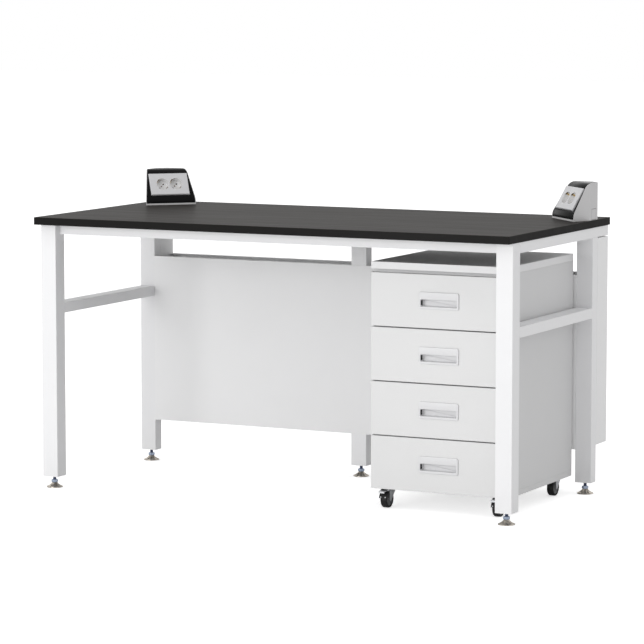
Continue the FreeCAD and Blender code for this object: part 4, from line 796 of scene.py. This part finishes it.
# painted highlight: a lighter, part-diffuse copy of the zinc plate for the brake pedal, its lip and
# the hood rivets
zinc_painted_highlight = material(
    "zinc_painted_highlight", plated_metal,
    {"Colour": (0.62, 0.63, 0.65), "Dull Colour": (0.36, 0.37, 0.39), "Roughness": 0.3},
    Metallic=0.7)
hub_plastic = material(
    "hub_plastic", coated_skin,
    {"Colour": (0.10, 0.10, 0.105), "Dust": 0.08, "Dust Height": 0.05,
     "Roughness": 0.35, "Grain": 1100.0, "Depth": 0.00002},
    Specular_IOR_Level=0.45)
CHEEK = [(0.0, 0.0, AXLE_BOSS + 0.5), (FORK_NOSE + 1.5, CROWN_HIGH - 1.5, 1.5),
         (FORK_HEEL - 1.5, CROWN_HIGH - 1.5, 1.5)]
CHEEK_RIB = [(1.5, 6.5, 1.6), (2.0, CROWN_LOW - 4.5, 2.2), (19.0, CROWN_LOW - 4.0, 2.0)]
EAR = [(*PEDAL_PIN, PEDAL_EAR), (FORK_NOSE - 0.5, CROWN_LOW - 0.8, 1.2),
       (FORK_NOSE + 1.5, CROWN_HIGH - 1.3, 1.2)]
LEVER = [(-8.5, PEDAL_PIN[0] - 0.5, 1.0), (8.5, PEDAL_PIN[0] - 0.5, 1.0),
         (-7.5, PEDAL_PIN[0] - 20.0, 2.0), (7.5, PEDAL_PIN[0] - 20.0, 2.0)]
LIP = rounded_box(18.0, 5.0, 1.2, (0.0, PEDAL_PIN[1] - 3.2))
CAP = [(-7.5, PEDAL_PIN[0] + 0.6, 1.2), (7.5, PEDAL_PIN[0] + 0.6, 1.2),
       (-7.0, PEDAL_PIN[0] - 6.0, 1.2), (7.0, PEDAL_PIN[0] - 6.0, 1.2)]

for end in ("front", "rear"):
    for side in ("left", "right"):
        wheel_node = f"caster_wheel_{end}_{side}"
        low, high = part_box(wheel_node)
        middle = (np.array(low) + np.array(high)) / 2
        body = f"wheel_{end}_{side}"
        tyre = lattice(f"tyre_{end}_{side}", tyre_surface(middle), black_nylon, body,
                       ring=True)
        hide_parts(wheel_node)
        lattice(f"hub_{end}_{side}", hub_surface(middle), hub_plastic, body)

        body = f"fork_{end}_{side}"
        crown = slab_surface(rounded_box(2 * CHEEK_OUT, FORK_HEEL - FORK_NOSE, 2.0,
                                         (0.0, (FORK_HEEL + FORK_NOSE) / 2)),
                             CROWN_LOW, CROWN_HIGH, 0.6, middle, ACROSS, BACK)
        crown = lattice(f"fork_crown_{end}_{side}", crown, zinc_plate, body)
        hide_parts(f"caster_fork_{end}_{side}")
        for sign, hand in ((-1, "a"), (1, "b")):
            inner, outer = sorted((sign * CHEEK_IN, sign * CHEEK_OUT))
            cheek = slab_surface(CHEEK, inner, outer, 0.5, middle, BACK, UP)
            lattice(f"fork_cheek_{end}_{side}_{hand}", cheek, zinc_plate, body)
            inner, outer = sorted((sign * (CHEEK_OUT - RIB_SUNK), sign * (CHEEK_OUT + RIB_RISE)))
            rib = slab_surface(CHEEK_RIB, inner, outer, 0.45, middle, BACK, UP)
            lattice(f"fork_rib_{end}_{side}_{hand}", rib, zinc_plate, body)
            end_of_axle = middle + MM * np.array((sign * CHEEK_OUT, 0, 0))
            bolt = rivet_surface(end_of_axle, (sign, 0, 0), AXLE_HEAD)
            lattice(f"fork_axle_{end}_{side}_{hand}", bolt, zinc_plate, body)
            if end == "rear":
                continue
            inner, outer = sorted((sign * CHEEK_IN, sign * CHEEK_OUT))
            ear = slab_surface(EAR, inner, outer, 0.4, middle, BACK, UP)
            lattice(f"fork_ear_{side}_{hand}", ear, zinc_plate, body)
            slope = np.array((0, -math.cos(RIVET_LIFT), math.sin(RIVET_LIFT)))
            spot = middle + MM * (HOOD_OUT * slope + np.array((sign * RIVET_OUT, 0, 0)))
            rivet = rivet_surface(spot, slope, RIVET_RADIUS)
            lattice(f"hood_rivet_{side}_{hand}", rivet, zinc_painted_highlight, body)
        if end == "front":
            lattice(f"brake_hood_{side}", hood_surface(middle), black_nylon, body)
            lever = slab_surface(LEVER, PEDAL_PIN[1] - LEVER_HALF, PEDAL_PIN[1] + LEVER_HALF, 0.4,
                                 middle, ACROSS, BACK)
            ahead = lever[..., 1] - middle[1] - MM * PEDAL_PIN[0]
            lever[..., 2] += LEVER_SLOPE * np.minimum(ahead, 0)
            lever = lattice(f"brake_lever_{side}", lever, zinc_painted_highlight, f"brake_{side}")
            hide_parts(f"brake_pedal_{side}")
            lip = slab_surface(LIP, LIP_BACK - PEDAL_PIN[0], LIP_FRONT - PEDAL_PIN[0], 0.5,
                               middle, ACROSS, UP)
            lattice(f"brake_lip_{side}", lip, zinc_painted_highlight, f"brake_{side}")
            pin = middle + MM * np.array((-CHEEK_OUT, *PEDAL_PIN))
            length = 2 * CHEEK_OUT
            profile = [(PIN_RADIUS - PIN_CHAMFER, 0.0), (PIN_RADIUS, PIN_CHAMFER),
                       (PIN_RADIUS, length - PIN_CHAMFER), (PIN_RADIUS - PIN_CHAMFER, length)]
            pin = turned_surface(profile, pin, ACROSS, 24)
            lattice(f"brake_pin_{side}", pin, zinc_plate, f"brake_{side}")
            cap = slab_surface(CAP, PEDAL_PIN[1] + CAP_LOW, PEDAL_PIN[1] + CAP_HIGH, 0.8,
                               middle, ACROSS, BACK)
            lattice(f"brake_cap_{side}", cap, black_nylon, f"brake_{side}")

# ---------------------------------------------------------------------------
# Studio: a pale floor under a plain white sky, one broad soft lamp in front and
# to the left, and a long lens.
# ---------------------------------------------------------------------------
scene = bpy.context.scene
scene.view_settings.view_transform = "Standard"

world = bpy.data.worlds.new("studio_sky")
scene.world = world
world.use_nodes = True
sky = world.node_tree
sky.nodes.clear()
SKY_LIGHT = 0.74
path = put(sky, "ShaderNodeLightPath").outputs
seen = maths(sky, "MAXIMUM", path["Is Camera Ray"], path["Is Glossy Ray"])
seen = maths(sky, "MAXIMUM", seen, path["Is Transmission Ray"])
soft = put(sky, "ShaderNodeBackground", {"Color": (1, 1, 1, 1), "Strength": SKY_LIGHT})
white = put(sky, "ShaderNodeBackground", {"Color": (1, 1, 1, 1), "Strength": 1.0})
mix = put(sky, "ShaderNodeMixShader", {0: seen, 1: soft.outputs[0], 2: white.outputs[0]})
put(sky, "ShaderNodeOutputWorld", {"Surface": mix.outputs[0]})

FLOOR_REACH = 30.0
FLOOR_WHITE = (0.93, 0.93, 0.93, 1)
FLOOR_LIFT = 0.6
corners = [(a * FLOOR_REACH, b * FLOOR_REACH, 0) for a, b in ((-1, -1), (1, -1), (1, 1), (-1, 1))]
floor_mesh = bpy.data.meshes.new("floor")
floor_mesh.from_pydata(corners, [], [(0, 1, 2, 3)])
floor = bpy.data.objects.new("floor", floor_mesh)
scene.collection.objects.link(floor)
floor_look = bpy.data.materials.new("floor_white")
floor_look.use_nodes = True
tree = floor_look.node_tree
shader = tree.nodes["Principled BSDF"]
shader.inputs["Base Color"].default_value = FLOOR_WHITE
shader.inputs["Roughness"].default_value = 0.9
shader.inputs["Specular IOR Level"].default_value = 0.0
shader.inputs["Emission Color"].default_value = (1, 1, 1, 1)
path = put(tree, "ShaderNodeLightPath").outputs
tree.links.new(maths(tree, "MULTIPLY", path["Is Camera Ray"], FLOOR_LIFT),
               shader.inputs["Emission Strength"])
floor_mesh.materials.append(floor_look)
floor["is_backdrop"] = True


def lamp(name, place, aim, size, power):
    """Square area lamp at a place, turned to face a point."""
    light = bpy.data.lights.new(name, "AREA")
    light.shape = "SQUARE"
    light.size = size
    light.energy = power
    item = bpy.data.objects.new(name, light)
    scene.collection.objects.link(item)
    item.location = place
    gaze = np.array(aim) - np.array(place)
    across = math.hypot(gaze[0], gaze[1])
    item.rotation_euler = (math.atan2(across, -gaze[2]), 0, math.atan2(-gaze[0], gaze[1]))


lamp("key_lamp", place=(-1.6, -7.5, 1.3), aim=(0, 0, 0.4), size=3.0, power=200.0)

CAMERA_PLACE = (4.15835, -8.40193, 1.54540)
CAMERA_TURN = 0.4596
CAMERA_DIP = 0.1118
CAMERA_LENS, CAMERA_FILM = 180.65, 36.0
eye = bpy.data.cameras.new("camera")
eye.sensor_width = CAMERA_FILM
eye.lens = CAMERA_LENS
eye.clip_end = 100.0
camera = bpy.data.objects.new("camera", eye)
scene.collection.objects.link(camera)
camera.location = CAMERA_PLACE
camera.rotation_euler = (math.pi / 2 - CAMERA_DIP, 0, CAMERA_TURN)
scene.camera = camera

low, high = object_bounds()
